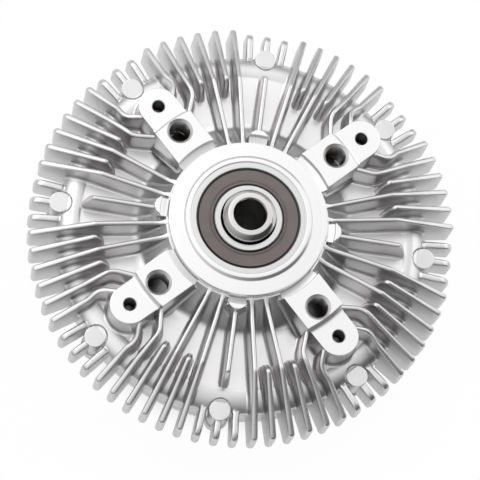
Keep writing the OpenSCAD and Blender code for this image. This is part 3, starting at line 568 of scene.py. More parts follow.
def pattern_tree(name, inputs):
    """Empty node tree with named inputs, what it is given, and the inputs' identifiers."""
    tree = bpy.data.node_groups.new(name, "GeometryNodeTree")
    tree.interface.new_socket("Geometry", in_out="INPUT", socket_type="NodeSocketGeometry")
    found = {label: tree.interface.new_socket(label, in_out="INPUT", socket_type="NodeSocket" + kind).identifier
             for label, kind in inputs}
    tree.interface.new_socket("Geometry", in_out="OUTPUT", socket_type="NodeSocketGeometry")
    return tree, add(tree, "NodeGroupInput").outputs, found


def round_the_axis(tree, item, count, first):
    """Sets an item round the shaft axis, the first one at the given angle."""
    points = add(tree, "GeometryNodePoints", {"Count": count})
    step = add(tree, "ShaderNodeMath", {0: 2 * math.pi, 1: count}, operation="DIVIDE")
    index = add(tree, "GeometryNodeInputIndex")
    turn = add(tree, "ShaderNodeMath", {0: index.outputs["Index"], 1: step.outputs["Value"],
                                        2: math.radians(first)}, operation="MULTIPLY_ADD")
    facing = add(tree, "ShaderNodeCombineXYZ", {"Z": turn.outputs["Value"]})
    placed = add(tree, "GeometryNodeInstanceOnPoints", {"Points": points.outputs["Points"], "Instance": item,
                                                        "Rotation": facing.outputs["Vector"]})
    return placed.outputs["Instances"]


quarters, given, sockets = pattern_tree("quarters_round_the_axis", (
    ("One side", "Object"), ("On axis", "Object"), ("Count", "Int"), ("Cast skin", "Material"),
    ("Turned skin", "Material"), ("Drilled skin", "Material")))
side = add(quarters, "GeometryNodeObjectInfo", {"Object": given["One side"]}).outputs["Geometry"]
middle = add(quarters, "GeometryNodeObjectInfo", {"Object": given["On axis"]}).outputs["Geometry"]
mirrored = add(quarters, "GeometryNodeTransform", {"Geometry": side, "Scale": (1.0, -1.0, 1.0)})
turned_out = add(quarters, "GeometryNodeFlipFaces", {"Mesh": mirrored.outputs["Geometry"]})
quarter = add(quarters, "GeometryNodeJoinGeometry", {"Geometry": side})
quarters.links.new(turned_out.outputs["Mesh"], quarter.inputs["Geometry"])
quarters.links.new(middle, quarter.inputs["Geometry"])
whole = add(quarters, "GeometryNodeJoinGeometry", {"Geometry": given["Geometry"]})
quarters.links.new(round_the_axis(quarters, quarter.outputs["Geometry"], given["Count"], 45), whole.inputs["Geometry"])
real = add(quarters, "GeometryNodeRealizeInstances", {"Geometry": whole.outputs["Geometry"]})
cast = add(quarters, "GeometryNodeSetMaterial", {"Geometry": real.outputs["Geometry"], "Material": given["Cast skin"]})
finished = cast
for surface in ("turned", "drilled"):
    chosen = add(quarters, "GeometryNodeInputNamedAttribute", {"Name": surface}, data_type="BOOLEAN")
    finished = add(quarters, "GeometryNodeSetMaterial", {
        "Geometry": finished.outputs["Geometry"], "Selection": chosen.outputs["Attribute"],
        "Material": given[surface.capitalize() + " skin"]})
add(quarters, "NodeGroupOutput", {"Geometry": finished.outputs["Geometry"]})


def settle(made, tree, values):
    """Runs a node tree on a piece and keeps the result as its plain mesh."""
    modifier = made.modifiers.new("pattern", "NODES")
    modifier.node_group = tree
    for identifier, value in values.items():
        modifier[identifier] = value
    graph = bpy.context.evaluated_depsgraph_get()
    mesh = bpy.data.meshes.new_from_object(made.evaluated_get(graph))
    made.modifiers.clear()
    made.data = mesh
    mesh.name = made.name


settle(housing, quarters, {sockets["One side"]: side_source, sockets["On axis"]: axis_source, sockets["Count"]: 4,
                           sockets["Cast skin"]: die_cast, sockets["Turned skin"]: turned_metal,
                           sockets["Drilled skin"]: drilled_metal})
for source in (side_source, axis_source):
    bpy.data.objects.remove(source)
smoothed(housing, sharp_angle=40)
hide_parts("clutch_body")
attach(housing, "housing")

# Ball bearing: two ground steel rings round eight balls in a moulded cage, packed with grease for
# life. The outer ring is pressed into the housing and held by the rolled lip.
bearing_mid = (bearing_face + bearing_seat) / 2
shaft_r, inner_land_r, outer_land_r = 8.5, 10.95, 16.65
ball_circle_r, race_r, race_angle = 14.25, 3.4, 51.85
inner_shoulder_r, outer_shoulder_r = 12.15, 16.35
seal_pocket = 1.6


def ring_finish(name, dark, bright, mark_gap, roughness, mark_depth):
    """Bright metal that was spun against a tool or a stone: rings about the shaft axis."""
    made, tree, place = new_material(name)
    radius = axis_distance(tree, place)
    height = add(tree, "ShaderNodeSeparateXYZ", {"Vector": place})
    along = add(tree, "ShaderNodeMath", {0: radius, 1: height.outputs["Z"]}, operation="ADD")
    phase = add(tree, "ShaderNodeMath", {0: along.outputs["Value"], 1: 1 / mark_gap}, operation="MULTIPLY")
    marks = add(tree, "ShaderNodeTexNoise", {"W": phase.outputs["Value"], "Scale": 1.0, "Detail": 3.0},
                noise_dimensions="1D")
    tint = add(tree, "ShaderNodeMix", {"Factor": marks.outputs["Fac"], 6: linear(dark), 7: linear(bright)},
               data_type="RGBA")
    sheen = add(tree, "ShaderNodeMapRange", {"Value": marks.outputs["Fac"], "To Min": roughness - 0.05,
                                             "To Max": roughness + 0.05})
    bump = add(tree, "ShaderNodeBump", {"Height": marks.outputs["Fac"], "Strength": 0.15, "Distance": mark_depth})
    skin = add(tree, "ShaderNodeBsdfPrincipled", {
        "Base Color": tint.outputs[2], "Metallic": 1.0, "Roughness": sheen.outputs["Result"],
        "Normal": bump.outputs["Normal"]})
    add(tree, "ShaderNodeOutputMaterial", {"Surface": skin.outputs["BSDF"]})
    return made


# Ground bearing steel: mirror-like but for the faint rings of the grinding wheel, drawn 0.2 mm apart
ground_steel = ring_finish("ground_bearing_steel", "#C6C6C6", "#DCDCDC", 0.2 * mm, 0.22, 0.01 * mm)


def turned_piece(name, profile, finish, steps=128):
    """A piece that is round about the shaft axis, from its closed profile."""
    bm = bmesh.new()
    revolve(bm, profile, steps)
    made = as_object(name, bm)
    made.data.materials.append(finish)
    smoothed(made, sharp_angle=35)
    return made


outer_ring = turned_piece("bearing_outer_ring_ground", [
    (bearing_r, bearing_seat + 0.6), (bearing_r, bearing_face - 0.6), (bearing_r - 0.2, bearing_face - 0.16),
    (bearing_r - 0.6, bearing_face), (outer_land_r + 0.2, bearing_face), (outer_land_r, bearing_face - 0.2),
    (outer_land_r, bearing_face - seal_pocket), (outer_shoulder_r, bearing_face - seal_pocket),
    *arc(ball_circle_r, bearing_mid, race_r, race_r, race_angle, -race_angle, 8),
    (outer_shoulder_r, bearing_seat + seal_pocket), (outer_land_r, bearing_seat + seal_pocket),
    (outer_land_r, bearing_seat + 0.2), (outer_land_r + 0.2, bearing_seat), (bearing_r - 0.6, bearing_seat),
    (bearing_r - 0.2, bearing_seat + 0.16)], ground_steel)
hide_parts("bearing_outer_ring")
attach(outer_ring, "housing")

# Shaded joint steel: the same metal made near black on the faces of the narrow joint between the ring and the shaft, a
# painted shade over the old oil that lies there
joint_shade_steel = ring_finish("oiled_bearing_steel", "#141312", "#201E1D", 0.2 * mm, 0.4, 0.01 * mm)
joint_w = 0.45
inner_ring = turned_piece("bearing_inner_ring_ground", [
    (shaft_r, bearing_face - 1.6), (shaft_r + joint_w, bearing_face - 1.4), (shaft_r + joint_w, bearing_face - 0.12),
    (shaft_r + joint_w + 0.12, bearing_face),
    (inner_land_r - 0.25, bearing_face), (inner_land_r, bearing_face - 0.25),
    (inner_land_r, bearing_face - seal_pocket), (inner_shoulder_r, bearing_face - seal_pocket - 0.1),
    *arc(ball_circle_r, bearing_mid, race_r, race_r, 180 - race_angle, 180 + race_angle, 8),
    (inner_shoulder_r, bearing_seat + seal_pocket + 0.1), (inner_land_r, bearing_seat + seal_pocket),
    (inner_land_r, bearing_seat + 0.25), (inner_land_r - 0.25, bearing_seat), (shaft_r + 0.5, bearing_seat),
    (shaft_r + 0.15, bearing_seat + 0.16), (shaft_r, bearing_seat + 0.55)], ground_steel)
inner_ring.data.materials.append(joint_shade_steel)
# The faces in the joint take the painted shade
for face in inner_ring.data.polygons:
    if math.hypot(*face.center[:2]) / mm < shaft_r + joint_w + 0.01 and face.center.z / mm > bearing_face - 1.7:
        face.material_index = 1
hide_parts("bearing_inner_ring")
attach(inner_ring, "shaft")


def dress(node, finish):
    """Gives a CAD node that is shown as it is its finish."""
    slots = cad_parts[node].data.materials
    slots.clear()
    slots.append(finish)


# Cage of glass-filled polyamide: an ochre-grey moulding with short pale fibres in its skin
cage_moulding, tree, place = new_material("glass_filled_polyamide")
fibres = add(tree, "ShaderNodeTexNoise", {"Vector": place, "Scale": 1 / (0.3 * mm), "Detail": 2.0})
tint = add(tree, "ShaderNodeMix", {"Factor": fibres.outputs["Fac"], 6: linear("#6B654D"), 7: linear("#8A8468")},
           data_type="RGBA")
skin = add(tree, "ShaderNodeBsdfPrincipled", {"Base Color": tint.outputs[2], "Roughness": 0.5})
add(tree, "ShaderNodeOutputMaterial", {"Surface": skin.outputs["BSDF"]})
dress("bearing_balls", ground_steel)
dress("bearing_cage", cage_moulding)

# Bearing seals: moulded nitrile rubber on a steel washer, snapped into the outer ring. The lip runs
# on the inner ring behind a shallow groove.
def moulded_rubber(name, dark, light, roughness):
    """Satin rubber with the fine matt grain of the mould, about a third of a millimetre."""
    made, tree, place = new_material(name)
    grain = add(tree, "ShaderNodeTexNoise", {"Vector": place, "Scale": 1 / (0.3 * mm), "Detail": 3.0})
    bloom = add(tree, "ShaderNodeTexNoise", {"Vector": place, "Scale": 1 / (5 * mm), "Detail": 3.0})
    tint = add(tree, "ShaderNodeMix", {"Factor": bloom.outputs["Fac"], 6: linear(dark), 7: linear(light)},
               data_type="RGBA")
    bump = add(tree, "ShaderNodeBump", {"Height": grain.outputs["Fac"], "Strength": 0.2, "Distance": 0.03 * mm})
    skin = add(tree, "ShaderNodeBsdfPrincipled", {"Base Color": tint.outputs[2], "Roughness": roughness,
                                                  "Normal": bump.outputs["Normal"]})
    add(tree, "ShaderNodeOutputMaterial", {"Surface": skin.outputs["BSDF"]})
    return made


# Brown nitrile rubber: a dull red-brown with a soft, uneven bloom
brown_nitrile = moulded_rubber("brown_nitrile_rubber", "#655B5B", "#746A6A", 0.6)
# Shaded nitrile rubber: the same rubber made near black and a little glossy in the crevices at its edges, a painted
# shade of those crevices
joint_shade_nitrile = moulded_rubber("greased_nitrile_rubber", "#0C0B0B", "#171515", 0.4)
bead_in_r, lip_out_r = 16.0, 11.45
for name, node, out, sign in (("rear_seal_moulded", "rear_bearing_seal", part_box("rear_bearing_seal")[1].z / mm, 1),
                              ("front_seal_moulded", "front_bearing_seal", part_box("front_bearing_seal")[0].z / mm, -1)):
    made = turned_piece(name, [(r, out - sign * below) for r, below in (
        (inner_land_r + 0.05, 0.7), (11.4, 0.6), (lip_out_r, 0.14), (11.6, 0.02), (11.95, 0.02), (12.1, 0.16),
        (12.3, 0.3), (12.5, 0.16), (12.7, 0.02), (15.7, 0.02), (15.9, 0.08), (bead_in_r, 0.25), (16.1, 0.6),
        (outer_land_r, 0.5), (outer_land_r, 1.4), (inner_land_r + 0.05, 1.4))], brown_nitrile)
    made.data.materials.append(joint_shade_nitrile)
    # The faces in the crevices, inside the lip and outside the bead, take the painted shade
    for face in made.data.polygons:
        if not lip_out_r < math.hypot(*face.center[:2]) / mm < bead_in_r:
            face.material_index = 1
    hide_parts(node)
    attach(made, "housing")

# Input shaft: turned and ground from steel bar, with a chamfered nose, a bore for the centre bolt
# and a recess for its head. The rotor is pressed on below the collar.
nose_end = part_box("input_shaft")[1].z / mm
tail_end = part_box("input_shaft")[0].z / mm
collar_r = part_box("input_shaft")[1].x / mm
rotor_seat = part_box("rotor_disc")[1].z / mm
rotor_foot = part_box("rotor_disc")[0].z / mm
bolt_r, journal_r, bolt_head_r, bolt_head_depth = 5.05, 11.0, 8.3, 10.5
nose_chamfer, clip_depth, clip_h = 1.5, 1.0, 1.3
# Turned shaft steel: bright and a touch warm, with smooth tool rings drawn 0.25 mm apart so that they show
shaft_steel = ring_finish("turned_shaft_steel", "#C0BFBE", "#DEDDDC", 0.25 * mm, 0.14, 0.02 * mm)
shaft = turned_piece("input_shaft_turned", [
    (bolt_r, nose_end - 0.5), (bolt_r + 0.4, nose_end), (shaft_r - nose_chamfer - 0.15, nose_end),
    (shaft_r - nose_chamfer + 0.1, nose_end - 0.12), (shaft_r - 0.1, nose_end - nose_chamfer + 0.1),
    (shaft_r, nose_end - nose_chamfer - 0.15), (shaft_r, bearing_seat), (collar_r - 0.4, bearing_seat),
    (collar_r, bearing_seat - 0.4), (collar_r, rotor_seat + 0.4), (collar_r - 0.4, rotor_seat),
    (journal_r, rotor_seat), (journal_r, rotor_foot), (journal_r - clip_depth, rotor_foot),
    (journal_r - clip_depth, rotor_foot - clip_h), (journal_r, rotor_foot - clip_h), (journal_r, tail_end + 0.6),
    (journal_r - 0.6, tail_end), (bolt_head_r + 0.4, tail_end), (bolt_head_r, tail_end + 0.4),
    (bolt_head_r, tail_end + bolt_head_depth), (bolt_r, tail_end + bolt_head_depth)], shaft_steel)
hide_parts("input_shaft")
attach(shaft, "shaft")

# Rotor: a turned aluminium disc whose ring-shaped lands run between those of the housing, pressed on
# the shaft and held by a spring steel ring.
# Turned rotor aluminium: cool pale grey and satin, with tool rings drawn 0.3 mm apart so that they show
rotor_metal = ring_finish("turned_rotor_aluminium", "#B9BBBE", "#D6D8DA", 0.3 * mm, 0.33, 0.02 * mm)
# Drawn spring steel: darker and duller than the shaft, with faint lines along the wire
spring_steel = ring_finish("drawn_spring_steel", "#6F7276", "#8E9195", 0.3 * mm, 0.35, 0.01 * mm)
dress("rotor_disc", rotor_metal)
dress("rotor_retaining_ring", spring_steel)

# Separator plate and valve: stamped brass sheet riveted into the cover. The lever opens the port in
# the plate when the control pin lifts off.
def rolled_sheet(name, dark, bright, line, detail, roughness, relief):
    """Sheet metal with the straight lines of the rolling mill; a line has a size along each axis."""
    made, tree, place = new_material(name)
    rolled = add(tree, "ShaderNodeMapping", {"Vector": place, "Scale": [1 / size for size in line]})
    lines = add(tree, "ShaderNodeTexNoise", {"Vector": rolled.outputs["Vector"], "Scale": 1.0, "Detail": detail})
    tint = add(tree, "ShaderNodeMix", {"Factor": lines.outputs["Fac"], 6: linear(dark), 7: linear(bright)},
               data_type="RGBA")
    bump = add(tree, "ShaderNodeBump", {"Height": lines.outputs["Fac"], "Strength": relief, "Distance": 0.01 * mm})
    skin = add(tree, "ShaderNodeBsdfPrincipled", {"Base Color": tint.outputs[2], "Metallic": 1.0,
                                                  "Roughness": roughness, "Normal": bump.outputs["Normal"]})
    add(tree, "ShaderNodeOutputMaterial", {"Surface": skin.outputs["BSDF"]})
    return made


# Stamped sheet brass: pale yellow and satin, with fine rolling lines drawn 0.3 mm wide so that they show
sheet_brass = rolled_sheet("stamped_sheet_brass", "#B79F5F", "#D4BD82", (8 * mm, 0.3 * mm, 0.3 * mm), 3.0, 0.32, 0.1)

# Zinc plate: cool grey with the cloudy, slightly blue bloom of passivation over a few millimetres
zinc_plate, tree, place = new_material("zinc_plated_steel")
bloom = add(tree, "ShaderNodeTexNoise", {"Vector": place, "Scale": 1 / (2.5 * mm), "Detail": 4.0})
tint = add(tree, "ShaderNodeMix", {"Factor": bloom.outputs["Fac"], 6: linear("#8F959C"), 7: linear("#C9CCD0")},
           data_type="RGBA")
sheen = add(tree, "ShaderNodeMapRange", {"Value": bloom.outputs["Fac"], "To Min": 0.3, "To Max": 0.45})
skin = add(tree, "ShaderNodeBsdfPrincipled", {"Base Color": tint.outputs[2], "Metallic": 1.0,
                                              "Roughness": sheen.outputs["Result"]})
add(tree, "ShaderNodeOutputMaterial", {"Surface": skin.outputs["BSDF"]})
for node in ("separator_plate", "valve_lever"):
    dress(node, sheet_brass)
dress("plate_rivets", zinc_plate)
dress("valve_pivot_pin", shaft_steel)

# Front cover: the second die casting, with its own fins on the air side, a flange with an ear for
# each screw, a boss for the shaft seal and a guide for the control pin. A rubber cord seals the joint.
# Black nitrile rubber: near black and satin, with a faint grey bloom
black_rubber = moulded_rubber("black_nitrile_rubber", "#1C1C1E", "#2A2A2C", 0.55)
dress("cover_seal_ring", black_rubber)
cover_face, flange_under, cover_wall_r, cover_slope_r = 12.5, joint_plane - 4.0, 56.0, 50.0
slope_end, seal_boss_r, seal_boss_end, seal_bore_r = flange_under - 4.0, 20.0, 6.0, 16.0
reservoir_level, plate_seat = 16.0, 21.8
outer_cover = [
    (rim_r - 0.3, joint_plane), (rim_r, joint_plane - 0.3), (rim_r, flange_under + 0.5),
    (rim_r - 0.15, flange_under + 0.15), (rim_r - 0.5, flange_under), (cover_wall_r + 1.0, flange_under),
    (cover_wall_r + 0.3, flange_under - 0.3), (cover_wall_r, flange_under - 1.0), (cover_wall_r, slope_end + 0.5),
    (cover_wall_r - 0.15, slope_end), (cover_wall_r - 0.5, slope_end - 0.5), (cover_slope_r + 0.5, cover_face + 0.6),
    (cover_slope_r, cover_face + 0.15), (cover_slope_r - 0.8, cover_face),
]
inner_cover = [
    (seal_boss_r + 1.0, cover_face), (seal_boss_r + 0.3, cover_face - 0.3), (seal_boss_r, cover_face - 1.0),
    (seal_boss_r, seal_boss_end + 0.5), (seal_boss_r - 0.15, seal_boss_end + 0.15), (seal_boss_r - 0.5, seal_boss_end),
    (seal_bore_r + 0.4, seal_boss_end), (seal_bore_r, seal_boss_end + 0.4), (seal_bore_r, cover_face + 0.2),
    (13.0, cover_face + 0.2), (13.0, reservoir_level), (46.0, reservoir_level), (46.0, plate_seat),
    (52.9, plate_seat), (52.9, plate_seat + 1.2), (chamber_r, plate_seat + 1.2), (chamber_r, joint_plane),
]
cover_bm = bmesh.new()
cover_bm.faces.layers.bool.new("turned")
revolve(cover_bm, outer_cover + inner_cover, round_steps)
guide_at, guide_r, guide_end = -31.0, 4.5, 9.5


def cover_skin(r):
    """The cover's air side turned upwards, so that its fins are drawn like those of the housing."""
    if r > cover_wall_r:
        return -(flange_under - 1.5)
    return -float(np.interp(r, (cover_slope_r - 0.8, cover_slope_r + 0.5, cover_wall_r - 0.5, cover_wall_r),
                            (cover_face, cover_face + 0.6, slope_end - 0.5, slope_end + 0.5)))


def cover_crest(r):
    """Rises from the seal boss, runs level and falls along the slope of the cover."""
    return -float(np.interp(r, (19.0, 25.25, 43.5, 44.5, 45.7, 54.5), (9.25, 0.0, 0.0, 0.06, 0.9, 8.0)))


guide_bm = bmesh.new()
guide_bm.faces.layers.bool.new("turned")
guide_outline = [(x, guide_at + y) for x, y in arc(0, 0, guide_r, guide_r, 0, 360, 32)[:-1]]
post(guide_bm, guide_outline, -guide_end, 0.5, fillet=0.8, turned=False, skin=cover_skin)
spoke_bm = bmesh.new()
spoke_stations = [19.0, 20.5, 22.5, 25.25, 30.0, 37.0, 43.5, 44.5, 45.7, 48.0, 49.2, 50.5, 52.0, 53.4, 53.8, 54.1,
                  54.4, 54.5]
spoke_half, spoke_draft = 0.7, 0.012
fin(spoke_bm, ray(0, spoke_stations), cover_crest, skin=cover_skin, edge_r=cover_wall_r,
    blade=(spoke_half, spoke_draft, 0.0))
for bm in (guide_bm, spoke_bm):
    bmesh.ops.scale(bm, vec=(1, 1, -1), verts=bm.verts)
ear_bm = bmesh.new()
ear_r, ear_edge = 4.0, 0.5
loft(ear_bm, [[(boss_at + r * math.cos(a), r * math.sin(a), z) for a in np.linspace(0, 2 * math.pi, 36, endpoint=False)]
              for r, z in ((ear_r - ear_edge, flange_under), (ear_r - 0.15, flange_under + 0.15),
                           (ear_r, flange_under + ear_edge), (ear_r, joint_plane - 0.3), (ear_r - 0.3, joint_plane))])
cover = as_object("front_cover_casting", cover_bm)
guide, spoke, ear = (as_object(n, b) for n, b in (("guide", guide_bm), ("spoke", spoke_bm), ("ear", ear_bm)))

# Fins round the cover, less the window that leaves room for the bimetal strip and its brackets
cover_tree, given, sockets = pattern_tree("cover_fins_and_ears", (
    ("Fin", "Object"), ("Fin count", "Int"), ("Ear", "Object"), ("Ear count", "Int"), ("Guide", "Object"),
    ("Window size", "Vector"), ("Window place", "Vector"), ("Cast skin", "Material")))
fin_item = add(cover_tree, "GeometryNodeObjectInfo", {"Object": given["Fin"]})
all_fins = add(cover_tree, "GeometryNodeRealizeInstances", {
    "Geometry": round_the_axis(cover_tree, fin_item.outputs["Geometry"], given["Fin count"], 4.5)})
block = add(cover_tree, "GeometryNodeMeshCube", {"Size": given["Window size"]})
window = add(cover_tree, "GeometryNodeTransform", {"Geometry": block.outputs["Mesh"],
                                                   "Translation": given["Window place"]})
cut = add(cover_tree, "GeometryNodeMeshBoolean", {"Mesh 1": all_fins.outputs["Geometry"],
                                                  "Mesh 2": window.outputs["Geometry"]}, operation="DIFFERENCE")
ear_item = add(cover_tree, "GeometryNodeObjectInfo", {"Object": given["Ear"]})
guide_item = add(cover_tree, "GeometryNodeObjectInfo", {"Object": given["Guide"]})
whole = add(cover_tree, "GeometryNodeJoinGeometry", {"Geometry": given["Geometry"]})
for part in (cut.outputs["Mesh"], guide_item.outputs["Geometry"],
             round_the_axis(cover_tree, ear_item.outputs["Geometry"], given["Ear count"], 0)):
    cover_tree.links.new(part, whole.inputs["Geometry"])
real = add(cover_tree, "GeometryNodeRealizeInstances", {"Geometry": whole.outputs["Geometry"]})
cast = add(cover_tree, "GeometryNodeSetMaterial", {"Geometry": real.outputs["Geometry"],
                                                   "Material": given["Cast skin"]})
add(cover_tree, "NodeGroupOutput", {"Geometry": cast.outputs["Geometry"]})
window_x, window_half = 38.0, 8.2
settle(cover, cover_tree, {
    sockets["Fin"]: spoke, sockets["Fin count"]: 40, sockets["Ear"]: ear, sockets["Ear count"]: 8,
    sockets["Guide"]: guide, sockets["Window size"]: (2 * window_x * mm, 2 * window_half * mm, 2 * cover_face * mm),
    sockets["Window place"]: (0.0, guide_at * mm, 0.0), sockets["Cast skin"]: die_cast})
for source in (guide, spoke, ear):
    bpy.data.objects.remove(source)
smoothed(cover, sharp_angle=40)
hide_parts("front_cover")
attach(cover, "housing")

# Cover screws: eight socket-head screws of zinc-plated steel, cold-headed with rolled threads. They go
# through the ears of the cover into the blind bosses of the housing and hold the two castings together.
head_r, shank_r, shank_point_r, socket_half, socket_depth = 3.5, 2.0, 1.4, 1.39, 1.8
head_end, shank_end = (corner.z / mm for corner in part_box("cover_screws"))


def hexagon(a):
    """Radius of the hexagon socket at an angle."""
    return socket_half / math.cos((a % (math.pi / 3)) - math.pi / 6)


screw_bm = bmesh.new()
screw_turns = np.linspace(0, 2 * math.pi, 36, endpoint=False)
screw_rings = [(lambda a: shank_point_r, shank_end), (lambda a: shank_r, shank_end - 0.6),
               (lambda a: shank_r, flange_under),
               (lambda a: head_r, flange_under), (lambda a: head_r, head_end + 0.5),
               (lambda a: head_r - 0.15, head_end + 0.15), (lambda a: head_r - 0.5, head_end),
               (lambda a: hexagon(a) + 0.15, head_end), (hexagon, head_end + 0.15), (hexagon, head_end + socket_depth)]
loft(screw_bm, [[(boss_at + r(a) * math.cos(a), r(a) * math.sin(a), z) for a in screw_turns] for r, z in screw_rings])
screw = as_object("screw", screw_bm)
screws = as_object("cover_screws_plated", bmesh.new())
screw_tree, given, sockets = pattern_tree("screws_round_the_axis", (
    ("Screw", "Object"), ("Count", "Int"), ("Plating", "Material")))
item = add(screw_tree, "GeometryNodeObjectInfo", {"Object": given["Screw"]})
real = add(screw_tree, "GeometryNodeRealizeInstances", {
    "Geometry": round_the_axis(screw_tree, item.outputs["Geometry"], given["Count"], 0)})
plated = add(screw_tree, "GeometryNodeSetMaterial", {"Geometry": real.outputs["Geometry"],
                                                     "Material": given["Plating"]})
add(screw_tree, "NodeGroupOutput", {"Geometry": plated.outputs["Geometry"]})
settle(screws, screw_tree, {sockets["Screw"]: screw, sockets["Count"]: 8, sockets["Plating"]: zinc_plate})
bpy.data.objects.remove(screw)
smoothed(screws, sharp_angle=40)
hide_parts("cover_screws")
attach(screws, "housing")

# Front shaft seal: black rubber on a steel case, pressed into the cover, with a garter spring that
# holds its lip on the shaft.
seal_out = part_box("shaft_lip_seal")[0].z / mm
seal_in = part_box("shaft_lip_seal")[1].z / mm
lip_r = journal_r + 0.1
lip_seal = turned_piece("shaft_seal_moulded", [
    (seal_bore_r - 0.4, seal_out), (seal_bore_r, seal_out + 0.4), (seal_bore_r, seal_in), (lip_r + 1.4, seal_in),
    (lip_r + 1.4, seal_in - 1.4), (seal_bore_r - 1.4, seal_in - 1.4), (seal_bore_r - 1.4, seal_out + 1.4),
    (lip_r + 1.4, seal_out + 1.4), (lip_r + 1.4, seal_out + 3.2), (lip_r, seal_out + 3.2), (lip_r, seal_out + 0.3),
    (lip_r + 0.3, seal_out), (12.4, seal_out), (12.6, seal_out + 0.25), (13.4, seal_out + 0.25), (13.6, seal_out)],
    black_rubber)
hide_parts("shaft_lip_seal")
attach(lip_seal, "housing")
dress("lip_seal_spring", spring_steel)

# Thermal control: a strip of two rolled metals held in two folded brackets on the air side bows
# with the heat and lets the control pin follow it.
# Rolled bimetal: brownish yellow and satin, with rolling lines along the strip drawn 0.25 mm wide
bimetal = rolled_sheet("rolled_bimetal", "#96774F", "#BC9B70", (12 * mm, 0.25 * mm, 2 * mm), 4.0, 0.36, 0.12)

# The strip is drawn in two straight halves that meet under the pin, each from its bracket to the middle
strip_low, strip_high = (np.array(corner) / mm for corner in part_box("bimetal_strip"))
strip_mid, strip_half = (strip_low + strip_high) / 2, (strip_high - strip_low) / 2
strip_edge, bend_start, bend_end = 0.15, 26.0, 3.0
corners = [(sy * (strip_half[1] - strip_edge), sz * (strip_half[2] - strip_edge), turn)
           for sy, sz, turn in ((1, 1, 0), (-1, 1, 90), (-1, -1, 180), (1, -1, 270))]


def strip_slice(x, edge):
    """Cross-section of the strip with its corners broken."""
    return [(x, strip_mid[1] + y + p, strip_mid[2] + z + q)
            for y, z, turn in corners for p, q in arc(0, 0, edge, edge, turn, turn + 90, 3)]


for name, side in (("bimetal_strip_left_half", -1), ("bimetal_strip_right_half", 1)):
    half_bm = bmesh.new()
    end = strip_half[0]
    loft(half_bm, [*[strip_slice(side * x, strip_edge) for x in np.linspace(0, end - strip_edge, 30)],
                   strip_slice(side * end, 0.02)])
    half = as_object(name, half_bm)
    half.data.materials.append(bimetal)
    smoothed(half, sharp_angle=50)
    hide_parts("bimetal_strip")
    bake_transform(half)


def deburred(name, node, edge, finish):
    """Copy of a plain CAD node with its edges broken as they are after tumbling."""
    bm = bmesh.new()
    bm.from_mesh(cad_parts[node].data)
    bmesh.ops.scale(bm, vec=(1 / mm,) * 3, verts=bm.verts)
    bmesh.ops.remove_doubles(bm, verts=bm.verts, dist=0.001)
    bmesh.ops.dissolve_limit(bm, angle_limit=math.radians(2), verts=bm.verts, edges=bm.edges)
    hard = [e for e in bm.edges if len(e.link_faces) == 2 and e.calc_face_angle() > math.radians(40)]
    bmesh.ops.bevel(bm, geom=hard, offset=edge, segments=2, profile=0.5, affect="EDGES")
    made = as_object(name, bm)
    made.data.materials.append(finish)
    smoothed(made, sharp_angle=40)
    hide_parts(node)
    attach(made, "housing")
    return made


tumbled_edge = 0.12
deburred("strip_brackets_folded", "strip_brackets", tumbled_edge, zinc_plate)
deburred("bracket_screws_plated", "bracket_screws", tumbled_edge, zinc_plate)
dress("control_pin", shaft_steel)
dress("control_pin_seal", black_rubber)

# Studio: a wide sheet of white paper as the floor, in a pale room with its window to the left. One softbox
# stands at the window, and a broad one at the back on the right lights the crests of the fins there. The
# camera looks down with a long lens from where the photograph was taken.
floor_half = 4000
floor_bm = bmesh.new()
bmesh.ops.create_grid(floor_bm, x_segments=1, y_segments=1, size=floor_half)
floor = as_object("studio_floor", floor_bm)
# White paper: plain white to the eye and half as bright in the metal, with a faint shadow close to the part
mirror_share, shadow_in_r, shadow_out_r, open_white = 0.45, 40, 62, 0.97
floor_white, tree, place = new_material("white_floor_paper")
paper = add(tree, "ShaderNodeBsdfDiffuse", {"Color": linear("#F4F4F4")})
lit = add(tree, "ShaderNodeEmission", {"Color": linear("#FFFFFF"), "Strength": 1.0})
seen = add(tree, "ShaderNodeLightPath").outputs
mirrored = add(tree, "ShaderNodeMath", {0: seen["Is Glossy Ray"], 1: seen["Is Transmission Ray"]}, operation="MAXIMUM")
looked_at = add(tree, "ShaderNodeMath", {0: mirrored.outputs["Value"], 1: mirror_share, 2: seen["Is Camera Ray"]},
                operation="MULTIPLY_ADD")
reach = add(tree, "ShaderNodeVectorMath", {0: place}, operation="LENGTH")
open_floor = add(tree, "ShaderNodeMapRange", {
    "Value": reach.outputs["Value"], "From Min": shadow_in_r * mm, "From Max": shadow_out_r * mm,
    "To Min": 0.0, "To Max": open_white}, interpolation_type="SMOOTHSTEP")
share = add(tree, "ShaderNodeMath", {0: looked_at.outputs["Value"], 1: open_floor.outputs["Result"]},
            operation="MULTIPLY")
both = add(tree, "ShaderNodeMixShader", {0: share.outputs["Value"], 1: paper.outputs["BSDF"],
                                         2: lit.outputs["Emission"]})
add(tree, "ShaderNodeOutputMaterial", {"Surface": both.outputs["Shader"]})
floor.data.materials.append(floor_white)

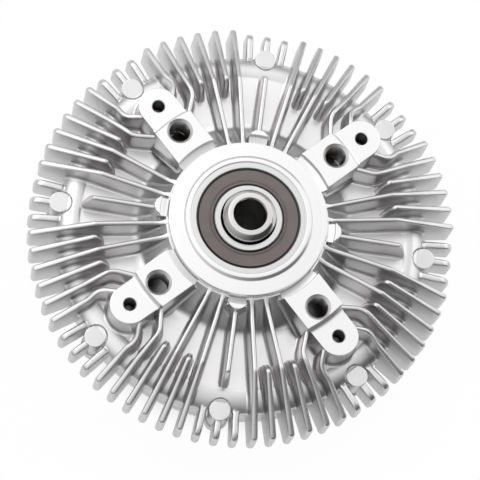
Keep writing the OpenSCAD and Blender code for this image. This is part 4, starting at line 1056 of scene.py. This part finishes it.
# The room: a white ceiling that falls off to grey walls, brightest to the left and behind the bench
window_way = (-0.87, 0.5, 0.0)
world = bpy.data.worlds.new("studio")
bpy.context.scene.world = world
world.use_nodes = True
tree = world.node_tree
tree.nodes.clear()
way = add(tree, "ShaderNodeTexCoord").outputs["Generated"]
height = add(tree, "ShaderNodeSeparateXYZ", {"Vector": way})
ceiling = add(tree, "ShaderNodeMapRange", {"Value": height.outputs["Z"], "From Min": 0.0, "From Max": 0.9,
                                           "To Min": 0.22, "To Max": 1.05}, interpolation_type="SMOOTHSTEP")
towards = add(tree, "ShaderNodeVectorMath", {0: way, 1: window_way}, operation="DOT_PRODUCT")
walls = add(tree, "ShaderNodeMapRange", {"Value": towards.outputs["Value"], "From Min": -0.8, "From Max": 0.8,
                                         "To Min": 0.2, "To Max": 1.9})
level = add(tree, "ShaderNodeMath", {0: ceiling.outputs["Result"], 1: walls.outputs["Result"]}, operation="MULTIPLY")
sky = add(tree, "ShaderNodeBackground", {"Color": (1, 1, 1, 1), "Strength": level.outputs["Value"]})
add(tree, "ShaderNodeOutputWorld", {"Surface": sky.outputs["Background"]})


def softbox(name, at, size, watts, aim=(0, 0, 0.04)):
    """Square lamp that faces the part."""
    lamp = bpy.data.lights.new(name, "AREA")
    lamp.shape, lamp.size, lamp.energy = "SQUARE", size, watts
    made = bpy.data.objects.new(name, lamp)
    made.location = Vector(at)
    made.rotation_mode = "QUATERNION"
    made.rotation_quaternion = (Vector(aim) - Vector(at)).to_track_quat("-Z", "Y")
    bpy.context.scene.collection.objects.link(made)


softbox("window_softbox", (-0.48, 0.28, 0.6), size=0.5, watts=0.42)
softbox("fill_softbox", (0.669, 0.341, 0.439), size=0.8, watts=2.1)

camera = bpy.data.objects.new("camera", bpy.data.cameras.new("camera"))
bpy.context.scene.collection.objects.link(camera)
camera_at, camera_aim, camera_roll = Vector((-57.68, -210.16, 703.99)), Vector((-1.87, -7.81, 52.0)), 23.58
camera.data.lens = 161.95
camera.data.sensor_width = 36.0
camera.data.clip_start, camera.data.clip_end = 0.01, 20.0
camera.location = camera_at * mm
level_view = (camera_aim - camera_at).to_track_quat("-Z", "Y").to_matrix()
camera.rotation_mode = "QUATERNION"
camera.rotation_quaternion = (level_view @ Matrix.Rotation(math.radians(camera_roll), 3, "Z")).to_quaternion()
bpy.context.scene.camera = camera
bpy.context.scene.view_settings.view_transform = "Standard"
